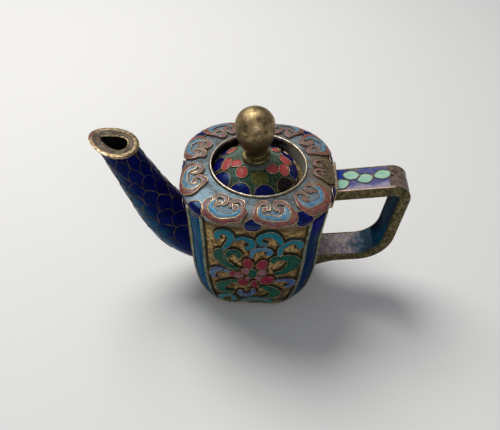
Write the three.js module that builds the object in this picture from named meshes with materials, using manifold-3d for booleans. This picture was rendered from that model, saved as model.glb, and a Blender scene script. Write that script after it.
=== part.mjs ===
// Miniature teapot of gilt brass with cloisonne enamel: square-sectioned body, inset lid, S-curved spout
// and flat strap handle. Millimetres, +Z up. The origin is the middle of the flat base, the spout points
// to -X, the handle to +X and the panel seen in the photograph faces -Y.
import * as THREE from "three";
import manifoldModule from "manifold-3d";

const kernel = await manifoldModule();
kernel.setup();

// Sizes of the body
const baseHalf = 10.3; // half width of the flat underside
const baseThickness = 1.1;
const footHalf = 9.6; // half width where the curve of the wall starts, on the floor
const shoulderHalf = 18.1; // half width at the shoulder, the widest place
const shoulderHeight = 37.7;
const mouthRise = 2.6; // from the shoulder's edge to the top of the mouth ring
const mouthHeight = shoulderHeight + mouthRise;
const openingHalf = 12.3; // half width of the hole in the shoulder that takes the mouth ring
const openingFlat = 0.8; // half length of the flat left on each side of that hole
const flatHalf = 5.2; // half length of the flat middle of each side of the wall
const wallCurve = 2.5; // the height of the wall grows as this power of its width
const shellThickness = 1;
const shellFoot = 0.45; // height on the outline of the shell's lower edge
const enamelDepth = 0.9; // from the outline down to the back of the enamel
const layerGap = 0.15; // between one layer and the next
const seamGap = 0.15; // between neighbours in one layer
const jointGap = 0.3; // between a piece and the neighbour it is cut to

// Sizes of the panels, frames and corner bands
const bandWidthFoot = 1.5;
const bandWidthShoulder = 4.2;
const bandDepth = 0.05; // how far the band's face lies below the outline
const panelBottom = 2; // height of the lower edge of a frame
const panelDrop = 2.2; // from the shoulder down to the upper edge of a frame
const panelTop = shoulderHeight - panelDrop;
const frameWidth = 0.6;
const frameProud = 0.1;
const groundDepth = 0.55; // how far the gilt ground lies below the outline
const scrollProud = 0.1;
const drawnReach = 14.16; // half width of the panel's top that the scrolls are drawn for
const drawnTop = 35.5; // heights of the panel that the scrolls are drawn for
const drawnBottom = 2;
const scrollHalf = 0.75; // half width of a scroll at its middle
const scrollTip = 0.45; // half width of a scroll at its ends

// Sizes of the collar, its cloud heads and lappets
const collarDepth = 0.55; // how far the collar's ground lies below the outline
const headWidth = 9.6;
const headTop = 0.6; // distance down the shoulder from the opening to the head's upper edge
const shoulderRoll = 0.8; // what its rounding adds to the length of the shoulder
const headBottom = shoulderHalf - openingHalf + shoulderRoll;
const headNotch = 0.3; // depth of the notch in the upper edge, as a share of the head
const headNotchPower = 8; // the higher, the narrower the notch
const headGap = 0.7; // between neighbouring heads
const headBack = 0.25; // how far the back of a head lies below the outline
const headProud = 0.3;
const headInset = 2.5; // from the widest place in to where a head's width is measured
const headReach = shoulderHalf - headInset;
const headAngles = [-70.5, -28.5, 13.5, 53.5, 89, 122.5, 155, 185.5, 215.5, 249.5]; // degrees from -Y
const lappetRadius = 1.7;
const lappetDrop = headBottom + panelDrop - lappetRadius; // from the opening to a lappet's middle
const lappetProud = 0.1;

// Sizes of the mouth ring and the lid seat
const mouthRadius = openingHalf - jointGap;
const mouthWall = 0.85;
const mouthDepth = 5.6;
const mouthProud = 0.4; // how far the ring stands above the shoulder
const mouthRound = 0.25;
const seatWidth = 2.6;
const seatThickness = 0.8;

// Sizes of the lid
const lidPlay = 1.15; // between the lid's edge and the mouth ring, with the lid in the middle
const lidRadius = mouthRadius - mouthWall - lidPlay;
const lidSink = 2.3; // from the top of the mouth down to the edge of the dome
const lidEdgeHeight = mouthHeight - lidSink;
const lidRise = 3.7;
const lidCrown = lidEdgeHeight + lidRise;
const lidWall = 0.9;
const lidRim = 2.4; // width of the flat rim that rests on the seat
const lidShift = 0.6; // the lid sits this much nearer the spout
const lidEnamel = 0.35;
const lidFieldDepth = 0.1;
const lidLappets = 10;
const lidLappetTurn = 14; // degrees from -Y to the first lappet
const lidLappetDepth = 2.1;
const lidBorderWidth = 0.5; // width of the border between two lappets
const skirtWall = 0.7;
const skirtDepth = 2.6;
const sprigAngles = [-62, 103, 186, 238]; // degrees from -Y
const sprigReach = 6;
const sprigRadius = 1.5;
const sprigSwell = 0.25; // share by which its three petals stand out
const sprigProud = 0.2;
const crownDiscRadius = 4.4;

// Sizes of the knob
const knobLean = 4.3; // degrees towards the spout
const knobRadius = 4.62;
const knobTopHeight = 4.4; // above its widest place
const knobLowHeight = 7.6; // below it, to where the egg would close
const knobLift = 9.5; // from the crown of the lid to the knob's middle
const knobMiddle = lidCrown + knobLift;
const knobNeck = 2.3;
const ringRadius = 3.1;
const ringRound = 0.5;
const ringHeight = 1.1;
const ringNeck = 2.6; // radius of the collar on top of the ring
const ringNeckHeight = 0.8;
const ringLift = 0.4; // above the crown, clear of it when leaning
const stemRadius = 1;
const stemHole = 1.45;
const stemReach = 5.2; // above the crown of the lid
const stemTop = lidCrown + stemReach;
const stemHead = 1.9;
const stemHeadHeight = 0.6;
const washerRadius = 2.6;
const washerThickness = 0.6;

// Sizes of the spout, in the plane of its middle
const spoutRoot = new THREE.Vector2(-13, 17.2);
const spoutRootPull = new THREE.Vector2(-22.4, 18.8);
const spoutTipPull = new THREE.Vector2(-24.2, 24.7);
const spoutTip = new THREE.Vector2(-33.9, 44.9);
const spoutRootRadius = 8.2;
const spoutMiddleRadius = 6.1;
const spoutTipRadius = 4;
const boreRootRadius = 4.2;
const boreTipRadius = 2.2;
const lipHalfLength = 5.8;
const lipHalfWidth = 4.9;
const lipSlope = 0.15; // rise of the lip's top towards its point, per millimetre
const lipHoleHalfLength = 3;
const lipHoleHalfWidth = 2.2;
const lipFootHalfLength = 4.6; // at the underside of the lip
const lipHeight = 1.6;
const lipPoint = 0.25; // share by which the lip narrows towards its point

// Sizes of the handle, in the plane of its middle
const handleRootDrop = 3.9; // from the shoulder down to the middle of the strap's upper root
const handleCornerDrop = 0.4;
const handleTopRoot = new THREE.Vector2(15.5, shoulderHeight - handleRootDrop);
const handleTopCorner = new THREE.Vector2(35.7, shoulderHeight - handleCornerDrop);
const handleLowCorner = new THREE.Vector2(33.2, 14.3);
const handleFlareStart = new THREE.Vector2(22.5, 12.7);
const handleLowRoot = new THREE.Vector2(14.5, 11.5);
const handleTopRound = 2.6;
const handleLowRound = 8.5;
const handleWidth = 8.4;
const strapTop = 3;
const strapBack = 2.7;
const strapLow = 2.1;
const strapFlare = 2.4; // extra depth under the lower root
const railWidth = 0.7;
const channelDepth = 0.5;
const inlayClear = 2.3; // the inlays start this far out from the outline
const plateHalfWidth = 4.9;
const plateDrop = 0.1; // from the shoulder down to the plate
const plateHeight = 6.4;
const plateTop = shoulderHeight - plateDrop;
const plateBottom = plateTop - plateHeight;
const plateThickness = 0.85;
const plateLift = 0.4; // above the outline, clear of the heads

// Counts of segments
const cornerSteps = 3; // along half a corner
const wallSteps = 6; // up the wall
const shoulderSteps = 4;
const sideSteps = 8; // along one side of a panel
const turnedSegments = 28;
const knobSegments = 20;
const tubeSegments = 16;
const tubeSteps = 10;
const tubeEnd = 0.86; // share of the spout's path up to the last ring square to it
const leafPoints = 12;
const leafCore = 0.5; // share of a leaf's outline at its inner ring
const domeSteps = 6;
const eggSteps = 9;
const slopeMarks = 120;
const lappetSteps = 4; // along the arc of one lid lappet
const bendSteps = 4; // round each corner of the handle
const strokeSteps = 5; // along one scroll

// Materials
function finish(name, colour, roughness, metalness) {
  const material = new THREE.MeshStandardMaterial({ color: colour, roughness, metalness });
  material.name = name;
  return material;
}

const gilt = finish("gilt", 0x9c7a3e, 0.4, 1);
const brass = finish("brass", 0x7d6a3a, 0.45, 1);
const copper = finish("copper", 0x8a5a3a, 0.5, 1);
const tealEnamel = finish("teal_enamel", 0x17577c, 0.2, 0);
const navyEnamel = finish("navy_enamel", 0x0d0d55, 0.18, 0);
const coralEnamel = finish("coral_enamel", 0xa4554c, 0.25, 0);
const turquoiseEnamel = finish("turquoise_enamel", 0x14788c, 0.22, 0);
const paleEnamel = finish("pale_enamel", 0x8fa3ab, 0.25, 0);
const greenEnamel = finish("green_enamel", 0x1f4a34, 0.25, 0);
const periwinkleEnamel = finish("periwinkle_enamel", 0x3d4fa8, 0.25, 0);

const pot = new THREE.Group();
pot.name = "teapot";
const lid = new THREE.Group();
lid.name = "lid";
lid.position.x = -lidShift;
pot.add(lid);
const knob = new THREE.Group();
knob.name = "knob_parts";
knob.position.z = lidCrown;
knob.rotation.y = -radians(knobLean);
lid.add(knob);

function add(name, geometry, material, parent = pot) {
  const mesh = new THREE.Mesh(geometry, material);
  mesh.name = name;
  parent.add(mesh);
}

// Small helpers
function radians(degrees) {
  return (degrees * Math.PI) / 180;
}

function steps(from, to, count) {
  return Array.from({ length: count + 1 }, (unused, i) => from + ((to - from) * i) / count);
}

function backwards(list) {
  return [...list].reverse();
}

function turned(point, angle) {
  return point.applyAxisAngle(new THREE.Vector3(0, 0, 1), angle);
}

// Closed shapes

// A geometry from points and triangles, turned inside out when its volume comes out negative.
function closedGeometry(points, triangles) {
  let volume = 0;
  for (const [a, b, c] of triangles) {
    volume += points[a].dot(points[b].clone().cross(points[c]));
  }
  const faces = volume < 0 ? triangles.map(backwards) : triangles;
  const positions = points.flatMap((point) => point.toArray());
  const geometry = new THREE.BufferGeometry();
  geometry.setAttribute("position", new THREE.Float32BufferAttribute(positions, 3));
  geometry.setIndex(faces.flat());
  geometry.computeVertexNormals();
  return geometry;
}

// A skin over closed rings. An end outline caps both ends; without one the last ring meets the first.
function skin(rings, endOutline = null) {
  const count = rings[0].length;
  const triangles = [];
  const bands = endOutline ? rings.length - 1 : rings.length;
  for (let band = 0; band < bands; band += 1) {
    const low = band * count;
    const high = ((band + 1) % rings.length) * count;
    for (let i = 0; i < count; i += 1) {
      const next = (i + 1) % count;
      triangles.push([low + i, low + next, high + next], [low + i, high + next, high + i]);
    }
  }
  if (endOutline) {
    const last = (rings.length - 1) * count;
    const forward = THREE.ShapeUtils.area(endOutline) > 0;
    for (const face of THREE.ShapeUtils.triangulateShape(endOutline, [])) {
      const [a, b, c] = forward ? face : backwards(face);
      triangles.push([c, b, a], [a + last, b + last, c + last]);
    }
  }
  return closedGeometry(rings.flat(), triangles);
}

// A turned solid about Z from a closed profile of [radius, height] points.
function revolve(profile, segments = turnedSegments) {
  const points = [];
  const rows = profile.map(([radius, height]) => {
    const row = [];
    for (let i = 0; i < segments; i += 1) {
      if (radius > 0 || i === 0) {
        points.push(turned(new THREE.Vector3(radius, 0, height), (2 * Math.PI * i) / segments));
      }
      row.push(points.length - 1);
    }
    return row;
  });
  const triangles = [];
  rows.forEach((row, i) => {
    const above = rows[(i + 1) % rows.length];
    for (let j = 0; j < segments; j += 1) {
      const next = (j + 1) % segments;
      if (row[j] !== row[next]) {
        triangles.push([row[j], row[next], above[next]]);
      }
      if (above[j] !== above[next]) {
        triangles.push([row[j], above[next], above[j]]);
      }
    }
  });
  return closedGeometry(points, triangles);
}

// A slab on a curved surface: place(across, along, out) gives its points.
function slab(place, acrossValues, alongValues, low, high) {
  const back = backwards(acrossValues);
  const rings = alongValues.map((along) => [
    ...acrossValues.map((across) => place(across, along, high)),
    ...back.map((across) => place(across, along, low)),
  ]);
  const end = [
    ...acrossValues.map((across) => new THREE.Vector2(across, high)),
    ...back.map((across) => new THREE.Vector2(across, low)),
  ];
  return skin(rings, end);
}

// A thick leaf on a curved surface, its outline drawn flat round its own middle.
function leaf(outlinePoints, place, low, high) {
  const ring = (scale, out) => outlinePoints.map((point) => place(point.x * scale, point.y * scale, out));
  return skin([ring(leafCore, low), ring(1, low), ring(1, high), ring(leafCore, high)], outlinePoints);
}

function toSolid(geometry) {
  const vertProperties = new Float32Array(geometry.getAttribute("position").array);
  const triVerts = new Uint32Array(geometry.getIndex().array);
  const mesh = new kernel.Mesh({ numProp: 3, vertProperties, triVerts });
  mesh.merge();
  return new kernel.Manifold(mesh);
}

function fromSolid(solid) {
  const mesh = solid.getMesh();
  const points = [];
  for (let i = 0; i < mesh.vertProperties.length; i += mesh.numProp) {
    points.push(new THREE.Vector3().fromArray(mesh.vertProperties, i));
  }
  const triangles = [];
  for (let i = 0; i < mesh.triVerts.length; i += 3) {
    triangles.push([...mesh.triVerts.slice(i, i + 3)]);
  }
  return closedGeometry(points, triangles);
}

function cut(geometry, tool) {
  return fromSolid(toSolid(geometry).subtract(toSolid(tool)));
}

// The outline of the body

function wallOutline(station) {
  const run = shoulderHalf - footHalf;
  return {
    half: footHalf + run * station,
    flat: flatHalf,
    height: shoulderHeight * station ** wallCurve,
    outward: new THREE.Vector2(shoulderHeight * wallCurve * station ** (wallCurve - 1), -run),
  };
}

function shoulderOutline(turn) {
  const run = shoulderHalf - openingHalf;
  const rise = mouthHeight - mouthProud - shoulderHeight;
  return {
    half: openingHalf + run * Math.cos(turn),
    flat: openingFlat + (flatHalf - openingFlat) * Math.cos(turn),
    height: shoulderHeight + rise * Math.sin(turn),
    outward: new THREE.Vector2(rise * Math.cos(turn), run * Math.sin(turn)),
  };
}

// Half width, flat and height at a station: 0 to 1 climbs the wall, 1 to 2 crosses the shoulder.
function outline(station, out) {
  const { half, flat, height, outward } =
    station <= 1 ? wallOutline(station) : shoulderOutline(((station - 1) * Math.PI) / 2);
  outward.normalize().multiplyScalar(out);
  return { half: half + outward.x, flat, height: height + outward.y };
}

function stationAt(height) {
  return (height / shoulderHeight) ** (1 / wallCurve);
}

function heightAt(station) {
  return wallOutline(station).height;
}

// Heights between two levels of the wall, closer together where the wall curves under.
function wallHeights(low, high) {
  return steps(stationAt(low), stationAt(high), wallSteps).map(heightAt);
}

// One level loop round the body.
function squareRing({ half, flat, height }) {
  const round = half - flat;
  const bends = steps(-Math.PI / 4, 0, cornerSteps);
  const corner = (sign, bend) =>
    new THREE.Vector3(sign * flat + round * Math.sin(bend), -flat - round * Math.cos(bend), height);
  return [0, 1, 2, 3].flatMap((side) => {
    const left = bends.map((bend) => corner(-1, bend));
    const right = backwards(bends).map((bend) => corner(1, -bend));
    return [...left, ...right.slice(0, -1)].map((point) => turned(point, (side * Math.PI) / 2));
  });
}

function flatten(ring) {
  return ring.map((point) => new THREE.Vector2(point.x, point.y));
}

// A layer that runs right round the body between two offsets from the outline.
function bodyLayer(stations, low, high) {
  const outer = stations.map((station) => squareRing(outline(station, high)));
  const inner = backwards(stations).map((station) => squareRing(outline(station, low)));
  return skin([...outer, ...inner]);
}

const shoulderStations = steps(1, 2, shoulderSteps);

// The whole body as one solid, grown by an offset, to cut the roots of the spout and handle.
function plainBody(out) {
  const wall = steps(stationAt(panelBottom), 1, wallSteps).slice(0, -1);
  const rings = [...wall, ...shoulderStations].map((station) => squareRing(outline(station, out)));
  return skin(rings, flatten(rings[0]));
}

// A point on one side of the wall; side 0 faces -Y and 1 faces +X, s runs along the side from its middle.
function wallPoint(side, s, height, out) {
  const station = stationAt(height);
  const plain = outline(station, 0);
  const { half, flat, height: z } = outline(station, out);
  const bend = Math.max(Math.abs(s) - flat, 0) / (plain.half - flat);
  const x = Math.sign(s) * (Math.min(Math.abs(s), flat) + (half - flat) * Math.sin(bend));
  const y = -flat - (half - flat) * Math.cos(bend);
  return turned(new THREE.Vector3(x, y, z), (side * Math.PI) / 2);
}

// Distance along a side from its middle to the diagonal of the corner.
function sideReach(height) {
  const { half, flat } = outline(stationAt(height), 0);
  return flat + ((half - flat) * Math.PI) / 4;
}

function bandHalf(height) {
  return (bandWidthFoot + (bandWidthShoulder - bandWidthFoot) * stationAt(height)) / 2;
}

function panelReach(height) {
  return sideReach(height) - bandHalf(height) - seamGap / 2;
}

// Distances down from the opening, over the shoulder and on to the wall.
const slope = [];
for (const station of steps(2, stationAt(panelBottom), slopeMarks)) {
  const { half, height } = outline(station, 0);
  const last = slope.at(-1);
  const down = last ? last.down + Math.hypot(half - last.half, height - last.height) : 0;
  slope.push({ station, half, height, down });
}

function stationBelow(down) {
  const after = slope.findIndex((mark) => mark.down >= down);
  const [high, low] = [slope[Math.max(after - 1, 0)], slope[after]];
  const share = low.down > high.down ? (down - high.down) / (low.down - high.down) : 0;
  return high.station + (low.station - high.station) * share;
}

// A point on the shoulder at an angle from -Y and a distance down from the opening.
function shoulderPoint(angle, down, out) {
  const { half, flat, height } = outline(stationBelow(down), out);
  const bend = Math.abs(angle - (Math.round(angle / (Math.PI / 2)) * Math.PI) / 2);
  const [sin, cos] = [Math.sin(bend), Math.cos(bend)];
  const round = half - flat;
  const onFlat = half * Math.tan(bend) <= flat;
  const roundReach = flat * (sin + cos) + Math.sqrt(round ** 2 - flat ** 2 * (1 - 2 * sin * cos));
  const reach = onFlat ? half / cos : roundReach;
  return new THREE.Vector3(reach * Math.sin(angle), -reach * Math.cos(angle), height);
}

// The spout's path and bore
const spoutCurve = new THREE.CubicBezierCurve(spoutRoot, spoutRootPull, spoutTipPull, spoutTip);

// A loop round the spout's path; a level one is slid along the path on to a level plane.
function spoutRing(share, radius, level = null) {
  const middle = spoutCurve.getPoint(share);
  const along = spoutCurve.getTangent(share);
  return steps(0, 2 * Math.PI, tubeSegments).slice(0, -1).map((angle) => {
    const inPlane = radius * Math.cos(angle);
    const point = new THREE.Vector2(middle.x - along.y * inPlane, middle.y + along.x * inPlane);
    if (level !== null) {
      point.addScaledVector(along, (level - point.y) / along.y);
    }
    return new THREE.Vector3(point.x, radius * Math.sin(angle), point.y);
  });
}

function spoutRadius(share) {
  const [from, to] = share < 0.5 ? [spoutRootRadius, spoutMiddleRadius] : [spoutMiddleRadius, spoutTipRadius];
  return from + (to - from) * ((share % 0.5) * 2);
}

function boreRadius(share) {
  return boreRootRadius + (boreTipRadius - boreRootRadius) * share;
}

// The pear-shaped loop of the lip, pointed away from the body.
function lipRing(halfLength, halfWidth, height, slope = 0) {
  const along = spoutCurve.getTangent(1);
  const middle = spoutTip.x + ((height - spoutTip.y) * along.x) / along.y;
  return steps(0, 2 * Math.PI, tubeSegments).slice(0, -1).map((angle) => {
    const narrowing = 1 - lipPoint * Math.cos(angle);
    const x = middle - halfLength * Math.cos(angle);
    const rise = slope * halfLength * Math.cos(angle);
    return new THREE.Vector3(x, halfWidth * Math.sin(angle) * narrowing, height + rise);
  });
}

const lipBottom = spoutTip.y - lipHeight;
const tubeTop = lipBottom - layerGap;
const tubeShares = steps(0, tubeEnd, tubeSteps);
const tubeOuter = [
  ...tubeShares.map((share) => spoutRing(share, spoutRadius(share))),
  spoutRing(1, spoutTipRadius, tubeTop),
];
const tubeInner = [
  ...tubeShares.map((share) => spoutRing(share, boreRadius(share))),
  spoutRing(1, boreTipRadius, tubeTop),
];

// Spout
function addSpout() {
  const tube = skin([...tubeOuter, ...backwards(tubeInner)]);
  add("spout_tube", cut(tube, plainBody(jointGap)), navyEnamel);
  const lipRings = [
    lipRing(lipHoleHalfLength, lipHoleHalfWidth, lipBottom),
    lipRing(lipFootHalfLength, spoutTipRadius, lipBottom),
    lipRing(lipHalfLength, lipHalfWidth, spoutTip.y, lipSlope),
    lipRing(lipHoleHalfLength, lipHoleHalfWidth, spoutTip.y, lipSlope),
  ];
  add("spout_lip", skin(lipRings), gilt);
}

// Body: base, shell, panels, frames, bands
function addBody() {
  const baseTop = outline(stationAt(baseThickness), 0);
  const baseRings = [
    squareRing({ half: baseHalf, flat: flatHalf, height: 0 }),
    squareRing({ half: baseTop.half, flat: flatHalf, height: baseThickness }),
  ];
  add("base_plate", skin(baseRings, flatten(baseRings[0])), brass);
  const wireStations = [stationAt(baseThickness + seamGap), stationAt(panelBottom - seamGap)];
  add("foot_wire", bodyLayer(wireStations, -enamelDepth, frameProud), gilt);
  const shellOuter = -(enamelDepth + layerGap);
  const footStation = stationAt(shellFoot);
  const stations = [...steps(footStation, 1, wallSteps + 1).slice(0, -1), ...shoulderStations];
  const shell = bodyLayer(stations, shellOuter - shellThickness, shellOuter);
  const boreEnd = tubeInner[0].map((point) => new THREE.Vector2(point.y, point.z));
  const bore = skin(tubeInner, boreEnd);
  add("body_shell", cut(shell, bore), copper);
  const sideNames = ["front", "handle_side", "back", "spout_side"];
  sideNames.forEach((name, side) => {
    const ground = panelGround(side);
    add(`${name}_panel`, name === "spout_side" ? cut(ground, bore) : ground, gilt);
    add(`${name}_frame`, panelFrame(side), brass);
    add(`corner_band_${side + 1}`, cornerBand(side), tealEnamel);
  });
}

function panelGround(side) {
  const inset = frameWidth + seamGap;
  const place = (across, height, out) =>
    wallPoint(side, across * (panelReach(height) - inset), height, out);
  const heights = wallHeights(panelBottom + inset, panelTop - inset);
  return slab(place, steps(-1, 1, sideSteps), heights, -enamelDepth, -groundDepth);
}

function panelFrame(side) {
  const outerHeights = wallHeights(panelBottom, panelTop);
  const innerHeights = wallHeights(panelBottom + frameWidth, panelTop - frameWidth);
  const across = steps(-1, 1, sideSteps);
  const corner = (share, level) => {
    const [outer, inner] = [outerHeights.at(level), innerHeights.at(level)];
    const outerReach = share * panelReach(outer);
    const innerReach = share * (panelReach(inner) - frameWidth);
    return [
      wallPoint(side, outerReach, outer, -enamelDepth),
      wallPoint(side, outerReach, outer, frameProud),
      wallPoint(side, innerReach, inner, frameProud),
      wallPoint(side, innerReach, inner, -enamelDepth),
    ];
  };
  const levels = outerHeights.map((unused, level) => level);
  return skin([
    ...across.slice(0, -1).map((share) => corner(share, 0)),
    ...levels.slice(0, -1).map((level) => corner(1, level)),
    ...backwards(across).slice(0, -1).map((share) => corner(share, -1)),
    ...backwards(levels).slice(0, -1).map((level) => corner(-1, level)),
  ]);
}

function cornerBand(side) {
  const place = (across, height, out) => {
    const reach = bandHalf(height) - seamGap / 2;
    return wallPoint(side, sideReach(height) + across * reach, height, out);
  };
  const heights = wallHeights(panelBottom, panelTop);
  return slab(place, steps(-1, 1, cornerSteps), heights, -enamelDepth, -bandDepth);
}

// Scrollwork: each stroke is drawn flat on the panel as [distance along the side, height] points
const strokes = [
  [[-9.3, 31.9], [-9.5, 33.4], [-7.7, 34.1], [-6.1, 32.8], [-6.7, 30.4], [-8, 28]],
  [[-5.6, 32.2], [-3, 32.7], [-0.9, 31.4], [-1, 29.5], [-2.6, 29.3]],
  [[2.6, 30.6], [1, 31.6], [1.1, 33.2], [3, 34.1], [5, 33.2], [6.3, 30]],
  [[5.7, 25.8], [6, 29.5], [8, 31.5], [10.3, 30.6], [10.6, 28.6]],
  [[-1.6, 23], [-0.4, 27.6], [1.8, 29], [3.4, 28], [3.1, 26.8]],
  [[-2.6, 19.9], [-6.6, 22.2], [-9, 25], [-9, 27], [-8, 28.3]],
  [[-7.8, 23.2], [-6.6, 26.8], [-5, 27.6], [-3.9, 26.5], [-4.3, 25.4]],
  [[3, 17.6], [7.5, 20], [9.7, 22.2], [9.2, 25], [7, 26.2], [4.7, 25.4], [4.3, 23.7]],
  [[-4.4, 18.2], [-7, 19.8], [-9.6, 19.2], [-10.7, 16.8], [-10.3, 15]],
  [[3.6, 15.6], [7, 16.1], [9.3, 14.8], [9.4, 13.2], [8.3, 12.4]],
  [[-2.4, 14.8], [-6, 14.7], [-8.5, 12], [-8.2, 9.8], [-6.3, 9], [-4.8, 9.8]],
  [[0.2, 13.2], [0.3, 9.8], [-1.5, 8], [-3.1, 8.8], [-3, 10.6]],
  [[0.6, 13.6], [4.2, 12], [6, 10], [5.2, 7.6], [3.2, 6.8]],
  [[-8.6, 4], [-8.2, 6.6], [-6.6, 8.7], [-5, 6.8], [-4.6, 4.4]],
];
const petals = [[-1.8, 22.4], [2, 22.2], [-4.2, 17.8], [3.1, 16.2], [-2.2, 14.6], [0.3, 14]];
const petalRadius = 1.5;
const heartRadius = 3.2;
const heartMiddle = [-0.2, 18.4];

function strokeShape(points) {
  const curve = new THREE.SplineCurve(points.map(([s, height]) => new THREE.Vector2(s, height)));
  const edge = (sign) => steps(0, 1, strokeSteps).map((share) => {
    const along = curve.getTangent(share);
    const half = scrollTip + (scrollHalf - scrollTip) * Math.sin(share * Math.PI);
    return curve.getPoint(share).add(new THREE.Vector2(-along.y, along.x).multiplyScalar(sign * half));
  });
  return new THREE.Shape([...edge(-1), ...backwards(edge(1))]);
}

function discShape([s, height], radius) {
  const round = steps(0, 2 * Math.PI, leafPoints).slice(0, -1);
  return new THREE.Shape(
    round.map((angle) => new THREE.Vector2(s + radius * Math.cos(angle), height + radius * Math.sin(angle))),
  );
}

function scrollwork(side) {
  const low = jointGap - groundDepth;
  const shapes = [
    ...strokes.map(strokeShape),
    ...petals.map((middle) => discShape(middle, petalRadius)),
    discShape(heartMiddle, heartRadius),
  ];
  const pieces = shapes.map((shape) => {
    const options = { depth: scrollProud - low, bevelEnabled: false, curveSegments: 1 };
    const geometry = new THREE.ExtrudeGeometry(shape, options);
    const count = geometry.getAttribute("position").count;
    geometry.setIndex(Array.from({ length: count }, (unused, i) => i));
    return toSolid(geometry);
  });
  const flat = fromSolid(kernel.Manifold.union(pieces));
  const place = flat.getAttribute("position");
  const spread = panelReach(panelTop) / drawnReach;
  const stretch = (panelTop - panelBottom) / (drawnTop - drawnBottom);
  for (let i = 0; i < place.count; i += 1) {
    const height = panelBottom + (place.getY(i) - drawnBottom) * stretch;
    const point = wallPoint(side, place.getX(i) * spread, height, low + place.getZ(i));
    place.setXYZ(i, point.x, point.y, point.z);
  }
  return flat;
}

function addScrollwork() {
  add("front_scrollwork", scrollwork(0), turquoiseEnamel);
  add("back_scrollwork", scrollwork(2), turquoiseEnamel);
}

// Collar: ground, cloud heads, lappets
function addCollar() {
  const stations = [stationAt(panelTop + seamGap), ...shoulderStations];
  add("collar_ground", bodyLayer(stations, -enamelDepth, -collarDepth), paleEnamel);
  const headMiddle = (headTop + headBottom) / 2;
  headAngles.forEach((angle, i) => {
    const before = headAngles.at(i - 1) - (i === 0 ? 360 : 0);
    const after = i + 1 < headAngles.length ? headAngles[i + 1] : headAngles[0] + 360;
    const room = radians(Math.min(angle - before, after - angle)) * headReach - headGap;
    const placeHead = (across, up, out) =>
      shoulderPoint(radians(angle) + across / headReach, headMiddle - up, out);
    const head = leaf(headOutline(Math.min(headWidth, room)), placeHead, -headBack, headProud);
    add(`cloud_head_${i + 1}`, head, coralEnamel);
    const lappetAngle = radians((angle + after) / 2);
    const placeLappet = (across, up, out) =>
      shoulderPoint(lappetAngle + across / headReach, lappetDrop - up, out);
    const lappet = leaf(roundOutline(lappetRadius), placeLappet, -headBack, lappetProud);
    add(`lappet_${i + 1}`, lappet, navyEnamel);
  });
}

function roundOutline(radius) {
  return steps(0, 2 * Math.PI, leafPoints).slice(0, -1).map(
    (angle) => new THREE.Vector2(radius * Math.cos(angle), radius * Math.sin(angle)),
  );
}

// A broad head with a notch in the middle of its upper edge.
function headOutline(width) {
  const halfHeight = (headBottom - headTop) / 2;
  return roundOutline(1).map((point) => {
    const notch = 1 - headNotch * Math.max(point.y, 0) ** headNotchPower;
    return new THREE.Vector2((point.x * width) / 2, point.y * halfHeight * notch);
  });
}

// Mouth ring and lid seat
const mouthInner = mouthRadius - mouthWall;
const domeRadius = (lidRadius ** 2 + lidRise ** 2) / (2 * lidRise);
const domeMiddle = lidCrown - domeRadius;
const domeMetal = -(lidEnamel + jointGap);
const lidBottom = domeHeight(lidRadius, domeMetal) - lidWall;

function domeHeight(radius, out) {
  return domeMiddle + Math.sqrt((domeRadius + out) ** 2 - radius ** 2);
}

function domePoint(radius, angle, out) {
  const reach = (radius * (domeRadius + out)) / domeRadius;
  return new THREE.Vector3(reach * Math.sin(angle), -reach * Math.cos(angle), domeHeight(reach, out));
}

function addMouth() {
  const bottom = mouthHeight - mouthDepth;
  const ring = [
    [mouthInner, bottom],
    [mouthRadius, bottom],
    [mouthRadius, mouthHeight - mouthRound],
    [mouthRadius - mouthRound, mouthHeight],
    [mouthInner + mouthRound, mouthHeight],
    [mouthInner, mouthHeight - mouthRound],
  ];
  add("mouth_ring", revolve(ring), gilt);
  const seatRadius = mouthInner - seamGap;
  const seat = [
    [seatRadius - seatWidth, lidBottom - seatThickness],
    [seatRadius, lidBottom - seatThickness],
    [seatRadius, lidBottom],
    [seatRadius - seatWidth, lidBottom],
  ];
  add("lid_seat", revolve(seat), brass);
}

// Lid: metal dome, skirt, enamel field, border, sprigs
function scallop(angle) {
  const pitch = (2 * Math.PI) / lidLappets;
  const phase = (angle - radians(lidLappetTurn)) / pitch;
  const share = (phase - Math.round(phase)) * 2;
  return lidRadius - lidBorderWidth - lidLappetDepth * Math.sqrt(Math.max(1 - share ** 2, 0));
}

function domeLoop(innerReach, outerReach, low, high) {
  const count = lidLappets * lappetSteps;
  const start = radians(lidLappetTurn) + Math.PI / lidLappets;
  return skin(steps(start, start + 2 * Math.PI, count).slice(0, -1).map((angle) => {
    const reaches = steps(innerReach(angle), outerReach(angle), 2);
    return [
      ...reaches.map((reach) => domePoint(reach, angle, high)),
      ...backwards(reaches).map((reach) => domePoint(reach, angle, low)),
    ];
  }));
}

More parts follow.
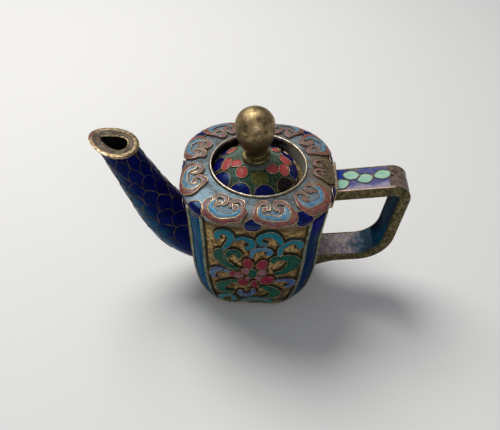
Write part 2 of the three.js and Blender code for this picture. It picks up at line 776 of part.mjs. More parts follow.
function addLid() {
  const innerDome = domeMetal - lidWall;
  const rimInner = lidRadius - lidRim;
  const dome = [
    ...steps(stemHole, lidRadius, domeSteps).map((radius) => [radius, domeHeight(radius, domeMetal)]),
    [lidRadius, lidBottom],
    [rimInner, lidBottom],
    ...steps(rimInner, stemHole, domeSteps - 2).map((radius) => [radius, domeHeight(radius, innerDome)]),
  ];
  add("lid_dome", revolve(dome), copper, lid);
  const skirtRadius = rimInner - seamGap;
  const skirtTop = domeHeight(skirtRadius, innerDome) - jointGap;
  const skirt = [
    [skirtRadius - skirtWall, lidBottom - skirtDepth],
    [skirtRadius, lidBottom - skirtDepth],
    [skirtRadius, skirtTop],
    [skirtRadius - skirtWall, skirtTop],
  ];
  add("lid_skirt", revolve(skirt), brass, lid);
  const discEdge = crownDiscRadius + seamGap;
  add("lid_border", domeLoop(scallop, () => lidRadius, -lidEnamel, 0), navyEnamel, lid);
  const field = domeLoop(() => discEdge, (angle) => scallop(angle) - seamGap, -lidEnamel, -lidFieldDepth);
  add("lid_field", field, greenEnamel, lid);
  sprigAngles.forEach((degrees, i) => {
    const place = (across, up, out) =>
      domePoint(sprigReach + up, radians(degrees) + across / sprigReach, out);
    const sprig = leaf(sprigOutline(), place, 0, sprigProud);
    add(`lid_sprig_${i + 1}`, sprig, coralEnamel, lid);
  });
  const disc = [
    [stemHole, domeHeight(stemHole, -lidEnamel)],
    [crownDiscRadius, domeHeight(crownDiscRadius, -lidEnamel)],
    [crownDiscRadius, domeHeight(crownDiscRadius, 0)],
    [stemHole, domeHeight(stemHole, 0)],
  ];
  add("crown_disc", revolve(disc), paleEnamel, lid);
}

// Three petals run together round one middle.
function sprigOutline() {
  return roundOutline(sprigRadius).map((point) => {
    const swell = 1 + sprigSwell * Math.cos(3 * Math.atan2(point.y, point.x));
    return point.multiplyScalar(swell);
  });
}

// Knob: ring, knob, stem, washer, drawn from the crown of the lid
function addKnob() {
  const ringStep = ringLift + ringHeight;
  const ringTop = ringStep + ringNeckHeight;
  const boreWall = stemRadius + jointGap;
  const ring = [
    [boreWall, ringLift],
    [ringRadius - ringRound, ringLift],
    [ringRadius, ringLift + ringRound],
    [ringNeck, ringStep],
    [ringNeck, ringTop],
    [boreWall, ringTop],
  ];
  add("knob_ring", revolve(ring, knobSegments), gilt, knob);
  const middle = knobMiddle - lidCrown;
  const neckTurn = Math.acos(knobNeck / knobRadius);
  const egg = steps(-neckTurn, Math.PI / 2, eggSteps).slice(0, -1).map((turn) => [
    knobRadius * Math.cos(turn),
    middle + (turn < 0 ? knobLowHeight : knobTopHeight) * Math.sin(turn),
  ]);
  const boreTop = stemTop - lidCrown + jointGap;
  const ball = [
    [0, boreTop],
    [boreWall, boreTop],
    [boreWall, ringTop + seamGap],
    [knobNeck, ringTop + seamGap],
    ...egg,
    [0, middle + knobTopHeight],
  ];
  add("knob", revolve(ball, knobSegments), gilt, knob);
  const washerTop = domeHeight(washerRadius, domeMetal - lidWall) - lidCrown - jointGap;
  const washerBottom = washerTop - washerThickness;
  const washer = [
    [boreWall, washerBottom],
    [washerRadius, washerBottom],
    [washerRadius, washerTop],
    [boreWall, washerTop],
  ];
  add("stem_washer", revolve(washer, knobSegments), brass, knob);
  const headLevel = washerBottom - seamGap;
  const stem = [
    [0, headLevel - stemHeadHeight],
    [stemHead, headLevel - stemHeadHeight],
    [stemHead, headLevel],
    [stemRadius, headLevel],
    [stemRadius, stemTop - lidCrown],
    [0, stemTop - lidCrown],
  ];
  add("knob_stem", revolve(stem, knobSegments), brass, knob);
}

// Handle: strap with a channel on both faces, two inlays, root plate

// Stations along the strap's middle: place, outward normal, and depth to the outer and inner face.
function strapStations() {
  const corners = [handleTopRoot, handleTopCorner, handleLowCorner, handleFlareStart, handleLowRoot];
  const rounds = [0, handleTopRound, handleLowRound, 0, 0];
  const depths = [strapTop, strapTop, strapBack, strapLow, strapLow, strapLow];
  const stations = [];
  corners.forEach((corner, i) => {
    const before = corners[Math.max(i - 1, 0)];
    const after = corners[Math.min(i + 1, corners.length - 1)];
    const into = (i > 0 ? corner.clone().sub(before) : after.clone().sub(corner)).normalize();
    const last = i === corners.length - 1;
    const outOf = (last ? corner.clone().sub(before) : after.clone().sub(corner)).normalize();
    const bend = into.angleTo(outOf);
    const bends = rounds[i] > 0 ? steps(0, 1, bendSteps) : [0.5];
    const setback = rounds[i] * Math.tan(bend / 2);
    const start = corner.clone().addScaledVector(into, -setback);
    const centre = start.clone().add(new THREE.Vector2(into.y, -into.x).multiplyScalar(rounds[i]));
    bends.forEach((share) => {
      const along = into.clone().rotateAround(new THREE.Vector2(), -bend * share);
      const outward = new THREE.Vector2(-along.y, along.x);
      const place = rounds[i] > 0 ? centre.clone().addScaledVector(outward, rounds[i]) : corner.clone();
      const depth = depths[i] + (depths[i + 1] - depths[i]) * share;
      const flare = i === corners.length - 1 ? strapFlare : 0;
      stations.push({ place, outward, outer: depth / 2 + flare, inner: -depth / 2 });
    });
  });
  return stations;
}

function strapPoint({ place, outward }, out, across) {
  const point = place.clone().addScaledVector(outward, out);
  return new THREE.Vector3(point.x, across, point.y);
}

function addHandle() {
  const stations = strapStations();
  const half = handleWidth / 2;
  const channel = half - railWidth;
  const section = ({ outer, inner }) => [
    [outer, half], [outer, channel], [outer - channelDepth, channel],
    [outer - channelDepth, -channel], [outer, -channel], [outer, -half],
    [inner, -half], [inner, -channel], [inner + channelDepth, -channel],
    [inner + channelDepth, channel], [inner, channel], [inner, half],
  ];
  const rings = stations.map((station) =>
    section(station).map(([out, across]) => strapPoint(station, out, across)));
  const end = section(stations[0]).map(([out, across]) => new THREE.Vector2(out, across));
  const clearBody = plainBody(plateLift + plateThickness + jointGap);
  add("handle_strap", cut(skin(rings, end), clearBody), brass);

  const inlayHalf = channel - seamGap;
  const inlay = (from, to) => {
    const inlayRings = stations.map((station) => [
      strapPoint(station, to(station), inlayHalf), strapPoint(station, to(station), -inlayHalf),
      strapPoint(station, from(station), -inlayHalf), strapPoint(station, from(station), inlayHalf),
    ]);
    const square = [[1, 1], [1, -1], [-1, -1], [-1, 1]].map(([x, y]) => new THREE.Vector2(x, y));
    return cut(skin(inlayRings, square), plainBody(inlayClear));
  };
  const lift = channelDepth - layerGap;
  add("handle_outer_inlay", inlay(({ outer }) => outer - lift, ({ outer }) => outer), periwinkleEnamel);
  add("handle_inner_inlay", inlay(({ inner }) => inner, ({ inner }) => inner + lift), tealEnamel);

  const place = (s, height, out) => wallPoint(1, s, height, out);
  const across = steps(-plateHalfWidth, plateHalfWidth, sideSteps / 2);
  const heights = steps(plateBottom, plateTop, 2);
  add("handle_plate", slab(place, across, heights, plateLift, plateLift + plateThickness), gilt);
}

addBody();
addScrollwork();
addCollar();
addMouth();
addLid();
addKnob();
addSpout();
addHandle();

export default pot;
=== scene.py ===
import math
import bpy
from mathutils import Matrix, Vector, noise


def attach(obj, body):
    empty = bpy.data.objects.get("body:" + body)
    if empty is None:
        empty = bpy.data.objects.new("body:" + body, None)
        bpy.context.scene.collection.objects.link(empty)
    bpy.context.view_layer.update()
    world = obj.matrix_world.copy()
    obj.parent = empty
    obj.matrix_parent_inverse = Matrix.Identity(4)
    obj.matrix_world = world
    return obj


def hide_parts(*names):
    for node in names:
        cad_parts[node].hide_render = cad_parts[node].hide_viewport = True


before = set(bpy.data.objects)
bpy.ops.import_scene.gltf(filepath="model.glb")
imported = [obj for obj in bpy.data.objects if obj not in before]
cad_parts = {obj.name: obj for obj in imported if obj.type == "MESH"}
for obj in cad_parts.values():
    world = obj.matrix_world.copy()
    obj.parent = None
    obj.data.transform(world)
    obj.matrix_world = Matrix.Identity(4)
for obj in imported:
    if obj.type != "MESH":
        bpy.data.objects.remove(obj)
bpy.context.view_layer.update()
mm = 0.001
print("frame loaded")


# making and finishing pieces

weldReach = 0.000002  # metres
smoothAngle = math.radians(40)


def deselectAll():
    bpy.ops.object.select_all(action="DESELECT")


def choose(*pieces):  # only these are selected, the first one active
    deselectAll()
    for piece in pieces:
        piece.select_set(True)
    bpy.context.view_layer.objects.active = pieces[0]


def steps(start, end, count):
    return [start + (end - start) * i / count for i in range(count + 1)]


def clamp(value):
    return min(max(value, 0), 1)


def nth(place, count):  # a grid's -1 to 1 as a whole step
    return round((place + 1) / 2 * count)


def gridPiece(name, columns, rows, place):  # a flat grid whose points go where place(u, v) says, in mm
    deselectAll()
    bpy.ops.mesh.primitive_grid_add(x_subdivisions=columns, y_subdivisions=rows, size=2)
    piece = bpy.context.object
    piece.name = name
    for point in piece.data.vertices:
        point.co = place(point.co.x, point.co.y) * mm
    return piece


def useModifier(piece, kind, **settings):
    choose(piece)
    modifier = piece.modifiers.new(kind.lower(), kind)
    for name, value in settings.items():
        setattr(modifier, name, value)
    bpy.ops.object.modifier_apply(modifier=modifier.name)


def editWhole(piece):  # edit mode with the whole mesh selected
    choose(piece)
    bpy.ops.object.mode_set(mode="EDIT")
    bpy.ops.mesh.select_all(action="SELECT")


def closeSeams(piece):
    editWhole(piece)
    bpy.ops.mesh.remove_doubles(threshold=weldReach)
    bpy.ops.mesh.normals_make_consistent(inside=False)
    bpy.ops.object.mode_set(mode="OBJECT")


def fillHoles(piece):
    editWhole(piece)
    bpy.ops.mesh.remove_doubles(threshold=weldReach)
    bpy.ops.mesh.fill_holes(sides=0)
    bpy.ops.object.mode_set(mode="OBJECT")


def faceOut(piece, away):  # an open sheet laid the wrong way round is turned over
    if sum(face.area * face.normal.dot(away) for face in piece.data.polygons) <= 0:
        editWhole(piece)
        bpy.ops.mesh.flip_normals()
        bpy.ops.object.mode_set(mode="OBJECT")
    return piece


def thicken(piece, thickness):  # inwards
    useModifier(piece, "SOLIDIFY", thickness=thickness * mm, offset=-1)
    closeSeams(piece)


def hoopPiece(name, rings, closed=True):  # a skin over loops of points; closed joins the last to the first
    count, rows = len(rings[0]), len(rings) - (0 if closed else 1)

    def place(u, v):
        return rings[nth(v, rows) % len(rings)][nth(u, count) % count]

    piece = gridPiece(name, count, rows, place)
    closeSeams(piece)
    return piece


def lathePiece(name, profile, segments=96, shift=0.0):  # a closed profile of radius and height, spun round
    turns = [Vector((math.cos(a), math.sin(a), 0)) for a in steps(0, math.tau, segments)[:-1]]
    return hoopPiece(name, [[turn * radius + Vector((shift, 0, height)) for turn in turns]
                            for radius, height in profile])


def wirePiece(name, runs, radius, closed=False, sides=1):  # round wire along each run of points
    curve = bpy.data.curves.new(name, "CURVE")
    curve.dimensions = "3D"
    curve.bevel_depth = radius * mm
    curve.bevel_resolution = sides
    curve.use_fill_caps = True
    for run in runs:
        spline = curve.splines.new("POLY")
        spline.points.add(len(run) - 1)
        for spot, point in zip(run, spline.points):
            point.co = (*(spot * mm), 1)
        spline.use_cyclic_u = closed
    piece = bpy.data.objects.new(name, curve)
    bpy.context.collection.objects.link(piece)
    choose(piece)
    bpy.ops.object.convert(target="MESH")
    return bpy.context.object


def joinPieces(name, pieces):
    choose(*pieces)
    if len(pieces) > 1:
        bpy.ops.object.join()
    pieces[0].name = name
    return pieces[0]


def turnedCopy(piece, name, degrees):  # a copy with its own mesh, turned about the pot's axis
    copy = piece.copy()
    copy.data = piece.data.copy()
    copy.name = name
    copy.data.transform(Matrix.Rotation(math.radians(degrees), 4, "Z"))
    bpy.context.collection.objects.link(copy)
    return copy


def dress(piece, material, slot="gilt", *replaced, body="pot"):
    fillHoles(piece)
    piece.data.materials.clear()
    piece.data.materials.append(material)
    choose(piece)
    bpy.ops.object.shade_smooth_by_angle(angle=smoothAngle)
    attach(piece, body)
    if replaced:
        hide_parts(*replaced)


def smoothRun(points, count):  # a smooth line through a few given points: places and directions
    spots = [Vector(point) for point in points]
    ends = [spots[0] * 2 - spots[1], *spots, spots[-1] * 2 - spots[-2]]
    line = []
    for i in range(count + 1):
        reach = (len(spots) - 1) * i / count
        first = min(int(reach), len(spots) - 2)
        t = reach - first
        a, b, c, d = ends[first:first + 4]
        straight, bend, sway = c - a, a * 2 - b * 5 + c * 4 - d, b * 3 - a - c * 3 + d
        place = (b * 2 + straight * t + bend * t * t + sway * t * t * t) / 2
        way = (straight + bend * 2 * t + sway * 3 * t * t) / 2
        line.append((place, way.normalized()))
    return line


def runLengths(spots):  # distance from the first spot to each one
    lengths = [0.0]
    for spot, after in zip(spots, spots[1:]):
        lengths.append(lengths[-1] + (after - spot).length)
    return lengths


# materials

enamelForm = {
    "clouds": (0.36, 0.64), "pits": 2300, "pitBlur": 0.06, "pitDetail": 6.0, "rubs": (900, 0.4, 0.75),
    "rubDull": 0.3, "lumps": (700, 0.2, 0.8), "lumpDepth": 0.12, "shineTint": (0.3, 0.75, 1.0, 1),
}
metalForm = {
    "rubs": (0.38, 0.62), "rubDull": 0.2, "grimeFiner": 2.3, "grimeBlur": 0.3, "detail": 8.0, "shine": 0.15,
    "grainFiner": 6, "grain": (0.25, 0.75), "grainBump": (0.3, 0.1),
    "dimple": {"From Min": 0.45, "From Max": 0.1, "To Max": 0.92}, "dimpleBump": (0.6, 0.25),
}
tintUneven = (380, 0.3, 0.7)


def feed(tree, node, inputs):  # sockets are linked, plain values set
    for name, value in inputs.items():
        if isinstance(value, bpy.types.NodeSocket):
            tree.links.new(value, node.inputs[name])
        else:
            node.inputs[name].default_value = value


def addNode(tree, kind, output, inputs, **settings):
    node = tree.nodes.new("ShaderNode" + kind)
    for name, value in settings.items():
        setattr(node, name, value)
    feed(tree, node, inputs)
    return node.outputs[output]


def newMaterial(name):
    material = bpy.data.materials.new(name)
    material.use_nodes = True
    return material, material.node_tree, material.node_tree.nodes["Principled BSDF"]


def objectCoords(tree):
    return addNode(tree, "TexCoord", "Object", {})


def colourMix(tree, share, *colours):
    first, second = [value if isinstance(value, bpy.types.NodeSocket) else (*value, 1) for value in colours]
    return addNode(tree, "Mix", "Result", {"Factor": share, "A": first, "B": second}, data_type="RGBA")


def paintOver(tree, shader, share, colour):
    before = shader.inputs["Base Color"].links[0].from_socket
    feed(tree, shader, {"Base Color": colourMix(tree, share, before, colour)})


def ranged(tree, value, limits):
    return addNode(tree, "MapRange", "Result", {"Value": value, **limits})


def noiseShare(tree, coords, scale, low, high, detail=4.0):  # noise squeezed to 0..1 between two levels
    grain = addNode(tree, "TexNoise", "Fac", {"Vector": coords, "Scale": scale, "Detail": detail})
    return ranged(tree, grain, {"From Min": low, "From Max": high})


def bumpFrom(tree, shader, height, strength, depth):
    limits = {"Height": height, "Strength": strength, "Distance": depth * mm}
    feed(tree, shader, {"Normal": addNode(tree, "Bump", "Normal", limits)})


def enamel(name, colour, second, worn=(0.20, 0.17, 0.13), wear=0.64, gloss=0.24, mottle=420, shine=0.13,
           streak=1.0, lump=0.35):
    material, tree, shader = newMaterial(name)
    coords, form = objectCoords(tree), enamelForm
    drawn = addNode(tree, "Mapping", "Vector", {"Vector": coords, "Scale": (1, 1, streak)})
    body = colourMix(tree, noiseShare(tree, drawn, mottle, *form["clouds"]), colour, second)
    pits = noiseShare(tree, coords, form["pits"], wear, wear + form["pitBlur"], form["pitDetail"])
    rubs = noiseShare(tree, coords, *form["rubs"])
    polish = ranged(tree, rubs, {"To Min": gloss, "To Max": gloss + form["rubDull"]})
    feed(tree, shader, {"Base Color": colourMix(tree, pits, body, worn), "Roughness": polish,
                        "Specular IOR Level": shine, "Specular Tint": form["shineTint"]})
    bumpFrom(tree, shader, noiseShare(tree, coords, *form["lumps"]), lump, form["lumpDepth"])
    return material


def oldMetal(name, bright, dull, patina, metallic=0.9, rough=0.36, patch=260, stipple=0.0, dark=0.56):
    material, tree, shader = newMaterial(name)
    coords, form = objectCoords(tree), metalForm
    rubs = noiseShare(tree, coords, patch, *form["rubs"])
    body = colourMix(tree, rubs, dull, bright)
    fine = patch * form["grimeFiner"]
    grime = noiseShare(tree, coords, fine, dark, dark + form["grimeBlur"], form["detail"])
    polish = ranged(tree, rubs, {"To Min": rough + form["rubDull"], "To Max": rough})
    feed(tree, shader, {"Base Color": colourMix(tree, grime, body, patina), "Roughness": polish,
                        "Metallic": metallic, "Specular IOR Level": form["shine"]})
    if stipple:  # little punched dimples over the ground
        depth = addNode(tree, "TexVoronoi", "Distance", {"Vector": coords, "Scale": stipple})
        paintOver(tree, shader, ranged(tree, depth, form["dimple"]), patina)
        bumpFrom(tree, shader, depth, *form["dimpleBump"])
    else:
        grain = noiseShare(tree, coords, patch * form["grainFiner"], *form["grain"], form["detail"])
        bumpFrom(tree, shader, grain, *form["grainBump"])
    return material


def tintAlong(material, direction, start, end, colour):  # towards one side of the pot the colour changes
    tree, half = material.node_tree, (end - start) / 2
    coords = objectCoords(tree)
    along = addNode(tree, "VectorMath", "Value", {0: coords, 1: direction}, operation="DOT_PRODUCT")
    uneven = {0: noiseShare(tree, coords, *tintUneven), 1: (end - start) * mm, 2: along}
    wander = addNode(tree, "Math", "Value", uneven, operation="MULTIPLY_ADD")
    share = ranged(tree, wander, {"From Min": (start + half) * mm, "From Max": (end + half) * mm})
    paintOver(tree, tree.nodes["Principled BSDF"], share, colour)


gilt = oldMetal(
    "worn gilt", (0.56, 0.42, 0.24), (0.24, 0.19, 0.12), (0.06, 0.04, 0.022), patch=620, dark=0.46)
paleGilt = oldMetal(
    "cloison wire", (0.50, 0.37, 0.22), (0.27, 0.19, 0.11), (0.09, 0.055, 0.03), rough=0.34, patch=500)
scrollGilt = oldMetal(
    "scroll wire", (0.42, 0.30, 0.16), (0.15, 0.105, 0.055), (0.03, 0.02, 0.012), patch=700, dark=0.46)
stippledGround = oldMetal(
    "stippled gilt ground", (0.60, 0.40, 0.155), (0.18, 0.11, 0.04), (0.022, 0.013, 0.006),
    metallic=0.55, rough=0.42, patch=900, stipple=1500, dark=0.52)
tintAlong(stippledGround, (0, 0, 1), 33.5, 36.0, (0.11, 0.07, 0.03))  # under the collar
tintAlong(stippledGround, (0, 0, 1), 24.0, -4.0, (0.05, 0.032, 0.014))  # painted shade: darker towards the foot
agedBrass = oldMetal(
    "aged brass", (0.24, 0.18, 0.08), (0.13, 0.105, 0.05), (0.04, 0.032, 0.018),
    rough=0.42, patch=420, dark=0.46)
knobBrass = oldMetal(
    "knob brass", (0.62, 0.44, 0.23), (0.22, 0.165, 0.08), (0.055, 0.042, 0.022),
    rough=0.32, patch=430, dark=0.45)
tintAlong(knobBrass, (0, 0, 1), 52.5, 48.0, (0.13, 0.10, 0.05))  # painted shade: its lower half darker
scaleBrass = oldMetal(
    "scale wire", (0.26, 0.19, 0.09), (0.09, 0.07, 0.035), (0.02, 0.016, 0.012),
    rough=0.42, patch=520, dark=0.42)
# the mouth ring's wall in near-black painted shadow, with painted light on its right side
mouthShadeAndLight = oldMetal(
    "mouth inside", (0.018, 0.014, 0.011), (0.009, 0.007, 0.006), (0.005, 0.004, 0.003),
    metallic=0.2, rough=0.6)
tintAlong(mouthShadeAndLight, (1, 0, 0), 5.0, 9.0, (0.30, 0.28, 0.23))  # painted light: the wall on the right made pale, as lit
rimGilt = oldMetal(
    "mouth rim", (0.80, 0.70, 0.54), (0.44, 0.36, 0.25), (0.14, 0.10, 0.06), rough=0.3, patch=700)
lipGrey = oldMetal(
    "lip face", (0.19, 0.15, 0.105), (0.085, 0.068, 0.05), (0.03, 0.022, 0.015),
    metallic=0.35, rough=0.5, patch=800, dark=0.47)
lipGilt = oldMetal(
    "lip edge", (0.60, 0.46, 0.27), (0.19, 0.135, 0.07), (0.03, 0.02, 0.012),
    rough=0.3, patch=1100, dark=0.44)
tintAlong(lipGilt, (-1, 0, 0), 36.3, 39.0, (0.10, 0.055, 0.04))  # its far end
strapBrass = oldMetal(
    "strap brass", (0.21, 0.17, 0.08), (0.085, 0.075, 0.034), (0.022, 0.02, 0.012),
    rough=0.42, patch=1000, dark=0.45)
plateGilt = oldMetal(
    "root plate", (0.66, 0.51, 0.34), (0.36, 0.27, 0.17), (0.07, 0.05, 0.03),
    rough=0.42, patch=800, dark=0.5)
edgeCopper = oldMetal(
    "rubbed copper edge", (0.80, 0.56, 0.40), (0.44, 0.27, 0.17), (0.12, 0.07, 0.045), rough=0.3, patch=800)
darkCopper = oldMetal(
    "dark copper", (0.20, 0.12, 0.08), (0.10, 0.06, 0.045), (0.03, 0.02, 0.015), rough=0.5)
greenGilt = oldMetal(
    "greenish border wire", (0.30, 0.32, 0.21), (0.15, 0.17, 0.11), (0.04, 0.045, 0.03),
    rough=0.42, patch=700)
# near-black painted shadow for the inside of the spout's hole
holeShadow = oldMetal(
    "dark hole", (0.007, 0.006, 0.005), (0.004, 0.003, 0.003), (0.002, 0.002, 0.002),
    metallic=0.0, rough=0.8)
# grime and painted shade: dark lines and beds at the feet of wires and strokes
grimeAndShade = oldMetal(
    "grime in the corners", (0.06, 0.04, 0.02), (0.035, 0.022, 0.012), (0.015, 0.01, 0.006),
    metallic=0.2, rough=0.7)

# the same corner-band enamel twice: lighter on the left as painted light, darker on the right as painted
# shade
litBandTeal = enamel(
    "left band", (0.001, 0.095, 0.18), (0.001, 0.035, 0.15), (0.03, 0.05, 0.05),
    mottle=900, shine=0.02, streak=0.16)
shadedBandNavy = enamel(
    "right band", (0.001, 0.004, 0.085), (0.001, 0.03, 0.055), (0.01, 0.03, 0.04),
    mottle=800, shine=0.02, streak=0.16)
tintAlong(shadedBandNavy, (0, 0, 1), 31.0, 34.0, (0.002, 0.003, 0.13))  # bluer at its top
turquoise = enamel("turquoise", (0.001, 0.13, 0.19), (0.001, 0.17, 0.22))
skyBlue = enamel("sky blue", (0.02, 0.14, 0.30), (0.05, 0.20, 0.34), mottle=700)
leafGreen = enamel("leaf green", (0.001, 0.09, 0.045), (0.001, 0.035, 0.027), mottle=800)
crimson = enamel("crimson", (0.29, 0.012, 0.04), (0.16, 0.006, 0.02))
mauve = enamel("mauve", (0.22, 0.13, 0.15), (0.23, 0.045, 0.07), mottle=800)
cloudBlue = enamel("blue and white", (0.12, 0.20, 0.31), (0.001, 0.03, 0.15), mottle=1300)
glassy = {"gloss": 0.14, "shine": 0.32}
headBlue = enamel(
    "head blue", (0.037, 0.175, 0.313), (0.184, 0.258, 0.313), (0.156, 0.11, 0.083), 0.6,
    mottle=1000, lump=0.7, **glassy)
coral = enamel(
    "coral border", (0.279, 0.063, 0.051), (0.14, 0.058, 0.049), wear=0.57, mottle=1000, lump=0.9, **glassy)
palePink = enamel(
    "pale pink", (0.288, 0.144, 0.135), (0.18, 0.117, 0.108), wear=0.58, mottle=900, lump=0.8, **glassy)
collarPale = enamel(
    "pale collar", (0.216, 0.28, 0.328), (0.096, 0.112, 0.12), (0.12, 0.084, 0.056), 0.53,
    gloss=0.16, mottle=520, shine=0.3, lump=0.7)
tintAlong(collarPale, (1, 0, 0), 11.3, 13.6, (0.16, 0.125, 0.08))  # worn bare by the handle
tintAlong(collarPale, (0, 0, 1), 39.2, 38.0, (0.16, 0.11, 0.06))  # brown at its outer edge
tintAlong(collarPale, (-1, -0.4, 0), 13.0, 18.0, (0.23, 0.29, 0.33))  # painted light: paler towards the spout, a painted window reflection
bareCollar = enamel(
    "bare collar", (0.17, 0.12, 0.065), (0.10, 0.075, 0.045), (0.04, 0.03, 0.02), 0.57, mottle=900)
# dirt and painted shade round the raised heads
headGrimeAndShade = enamel(
    "grime round heads", (0.10, 0.075, 0.055), (0.17, 0.16, 0.155), (0.05, 0.035, 0.02), 0.55, mottle=900)
headBed = enamel("head bed", (0.10, 0.22, 0.32), (0.20, 0.20, 0.21), (0.16, 0.11, 0.08), 0.56, mottle=900)
navy = enamel("navy", (0.003, 0.003, 0.10), (0.004, 0.004, 0.05), wear=0.75, gloss=0.12, shine=0.25)
brownLappet = enamel("brown lappet", (0.022, 0.010, 0.007), (0.010, 0.006, 0.006), gloss=0.14)
spoutNavy = enamel(
    "spout navy", (0.001, 0.0015, 0.045), (0.001, 0.003, 0.10), wear=0.75, gloss=0.22, shine=0.08)
tintAlong(spoutNavy, (-0.833, 0, -0.554), 5.4, 8.0, (0.001, 0.05, 0.12))  # teal along its outer curve
lidGreen = enamel(
    "lid green", (0.010, 0.05, 0.030), (0.036, 0.044, 0.017), (0.10, 0.12, 0.08), 0.56, mottle=1300)
tintAlong(lidGreen, (0, 1, 0), -1.5, 5.0, (0.12, 0.16, 0.13))  # paler behind the knob
lidOlive = enamel(
    "lid olive", (0.14, 0.115, 0.022), (0.05, 0.07, 0.025), (0.12, 0.11, 0.05), 0.6, mottle=1300)
sprigRed = enamel("sprig red", (0.46, 0.075, 0.07), (0.32, 0.05, 0.045), wear=0.7)
discGrey = enamel("disc grey green", (0.16, 0.19, 0.15), (0.08, 0.10, 0.08), mottle=900)
periwinkle = enamel("periwinkle", (0.045, 0.06, 0.26), (0.10, 0.10, 0.22), (0.24, 0.18, 0.16), 0.57)
tintAlong(periwinkle, (1, 0, 0), 23.0, 20.5, (0.008, 0.025, 0.24))  # bluer by the pot
tintAlong(periwinkle, (0, -1, 0), 1.6, 3.0, (0.30, 0.26, 0.34))  # lilac along the front rail
mint = enamel("mint", (0.24, 0.47, 0.34), (0.42, 0.58, 0.47), wear=0.7, mottle=520)
innerTeal = enamel(
    "handle inner teal", (0.001, 0.02, 0.06), (0.001, 0.06, 0.10), gloss=0.5, shine=0.01, streak=0.2)
tintAlong(innerTeal, (0, 1, 0), -1.0, 2.5, (0.001, 0.004, 0.012))  # painted shade: dark at its back
greyLilac = enamel(
    "worn lilac", (0.58, 0.47, 0.42), (0.30, 0.27, 0.34), (0.045, 0.033, 0.023), 0.57, mottle=900)
tintAlong(greyLilac, (1, 0, 0), 24.5, 28.5, (0.02, 0.045, 0.075))  # into the teal
bareEnd = enamel(
    "bare strap end", (0.20, 0.14, 0.11), (0.10, 0.075, 0.06), (0.03, 0.02, 0.02), 0.57, mottle=700)
print("materials ready")


# the shape of the body: the curves of its solids, with a fuller belly

wall = {
    "foot": 9.6, "half": 18.1, "height": 37.7, "curve": 2.5, "flat": 5.2, "lowest": 0.001,
    "mouthHalf": 12.3, "mouthFlat": 0.8, "mouthHeight": 39.9,
}
belly = {
    "left": 0.88, "right": 1.3, "top": 28.0, "ease": 0.75, "from": 7.0, "to": 14.5,
    "tuck": 0.06, "tuckTop": 8.0,
}
handDrift = {"seed": 7, "size": 2.3, "start": 3.1, "apart": 5.7}
noise.seed_set(handDrift["seed"])  # the same wobble every run


def outlineAt(station, out):  # 0 to 1 climbs the wall, 1 to 2 crosses the shoulder: half width, flat, height
    if station <= 1:
        run = wall["half"] - wall["foot"]
        half, flat = wall["foot"] + run * station, wall["flat"]
        height = heightAt(station)
        way = Vector((wall["height"] * wall["curve"] * station ** (wall["curve"] - 1), -run))
    else:
        turn = (station - 1) * math.pi / 2
        run, rise = wall["half"] - wall["mouthHalf"], wall["mouthHeight"] - wall["height"]
        half = wall["mouthHalf"] + run * math.cos(turn)
        flat = wall["mouthFlat"] + (wall["flat"] - wall["mouthFlat"]) * math.cos(turn)
        height = wall["height"] + rise * math.sin(turn)
        way = Vector((rise * math.cos(turn), run * math.sin(turn)))
    way.normalize()
    return half + out * way.x, flat, height + out * way.y


def stationAt(height):
    return (max(height, wall["lowest"]) / wall["height"]) ** (1 / wall["curve"])


def heightAt(station):
    return wall["height"] * station ** wall["curve"]


def turnedSpot(spot, side):
    for quarter in range(side):
        spot = Vector((-spot.y, spot.x, spot.z))
    return spot


def fuller(spot):  # low down the wall is wider from corner to corner, and its foot tucked in
    rise = clamp(spot.z / belly["top"])
    across = clamp((abs(spot.x) - belly["from"]) / (belly["to"] - belly["from"]))
    reach = belly["left" if spot.x < 0 else "right"]
    swell = reach * math.sin(math.pi * rise ** belly["ease"]) * across ** 2 * (3 - 2 * across)
    tuck = 1 - belly["tuck"] * clamp(1 - spot.z / belly["tuckTop"])
    return Vector((spot.x + math.copysign(swell, spot.x), spot.y * tuck, spot.z))


def wallSpot(side, s, height, out):  # side 0 is the front, s runs along the side from its middle
    station = stationAt(height)
    plainHalf = outlineAt(station, 0)[0]
    half, flat, z = outlineAt(station, out)
    bend = max(abs(s) - flat, 0) / (plainHalf - flat)
    x = math.copysign(min(abs(s), flat) + (half - flat) * math.sin(bend), s)
    y = -flat - (half - flat) * math.cos(bend)
    return fuller(turnedSpot(Vector((x, y, z)), side))


def sideReach(height):  # along a side, from its middle to the corner's diagonal
    half, flat = outlineAt(stationAt(height), 0)[:2]
    return flat + (half - flat) * math.pi / 4


shoulderStations = steps(2, 0.5, 150)  # from the mouth down over the shoulder
shoulderRuns = runLengths([Vector(outlineAt(station, 0)[::2]) for station in shoulderStations])


def shoulderSpot(angle, down, out):  # angle from the front, distance down from the mouth
    after = next(i for i, run in enumerate(shoulderRuns) if run >= down)
    before = max(after - 1, 0)
    gap = shoulderRuns[after] - shoulderRuns[before]
    share = (down - shoulderRuns[before]) / gap if gap else 0
    station = shoulderStations[before] + (shoulderStations[after] - shoulderStations[before]) * share
    half, flat, z = outlineAt(station, out)
    bend = abs(angle - round(angle / (math.pi / 2)) * math.pi / 2)
    sin, cos = math.sin(bend), math.cos(bend)
    reach = half / cos
    if half * math.tan(bend) > flat:
        reach = flat * (sin + cos) + math.sqrt((half - flat) ** 2 - flat ** 2 * (1 - 2 * sin * cos))
    return Vector((reach * math.sin(angle), -reach * math.cos(angle), z))


def drift(x, y, reach, seed=0):  # the unsteady hand that laid the wires
    layer = handDrift["start"] + seed * handDrift["apart"]
    shift = noise.noise_vector(Vector((x / handDrift["size"], y / handDrift["size"], layer)))
    return x + shift.x * reach, y + shift.y * reach


# strokes: ribbons and petals of enamel with a wire round them, laid on any curved surface
# their levels are the low edge, the high edge and the crown over it

ribbonForm = {"steps": 26, "rows": 10, "rim": 0.8, "edge": 0.9}
petalForm = {"rim": 0.84, "edge": 0.92, "grid": 12, "loop": 28}


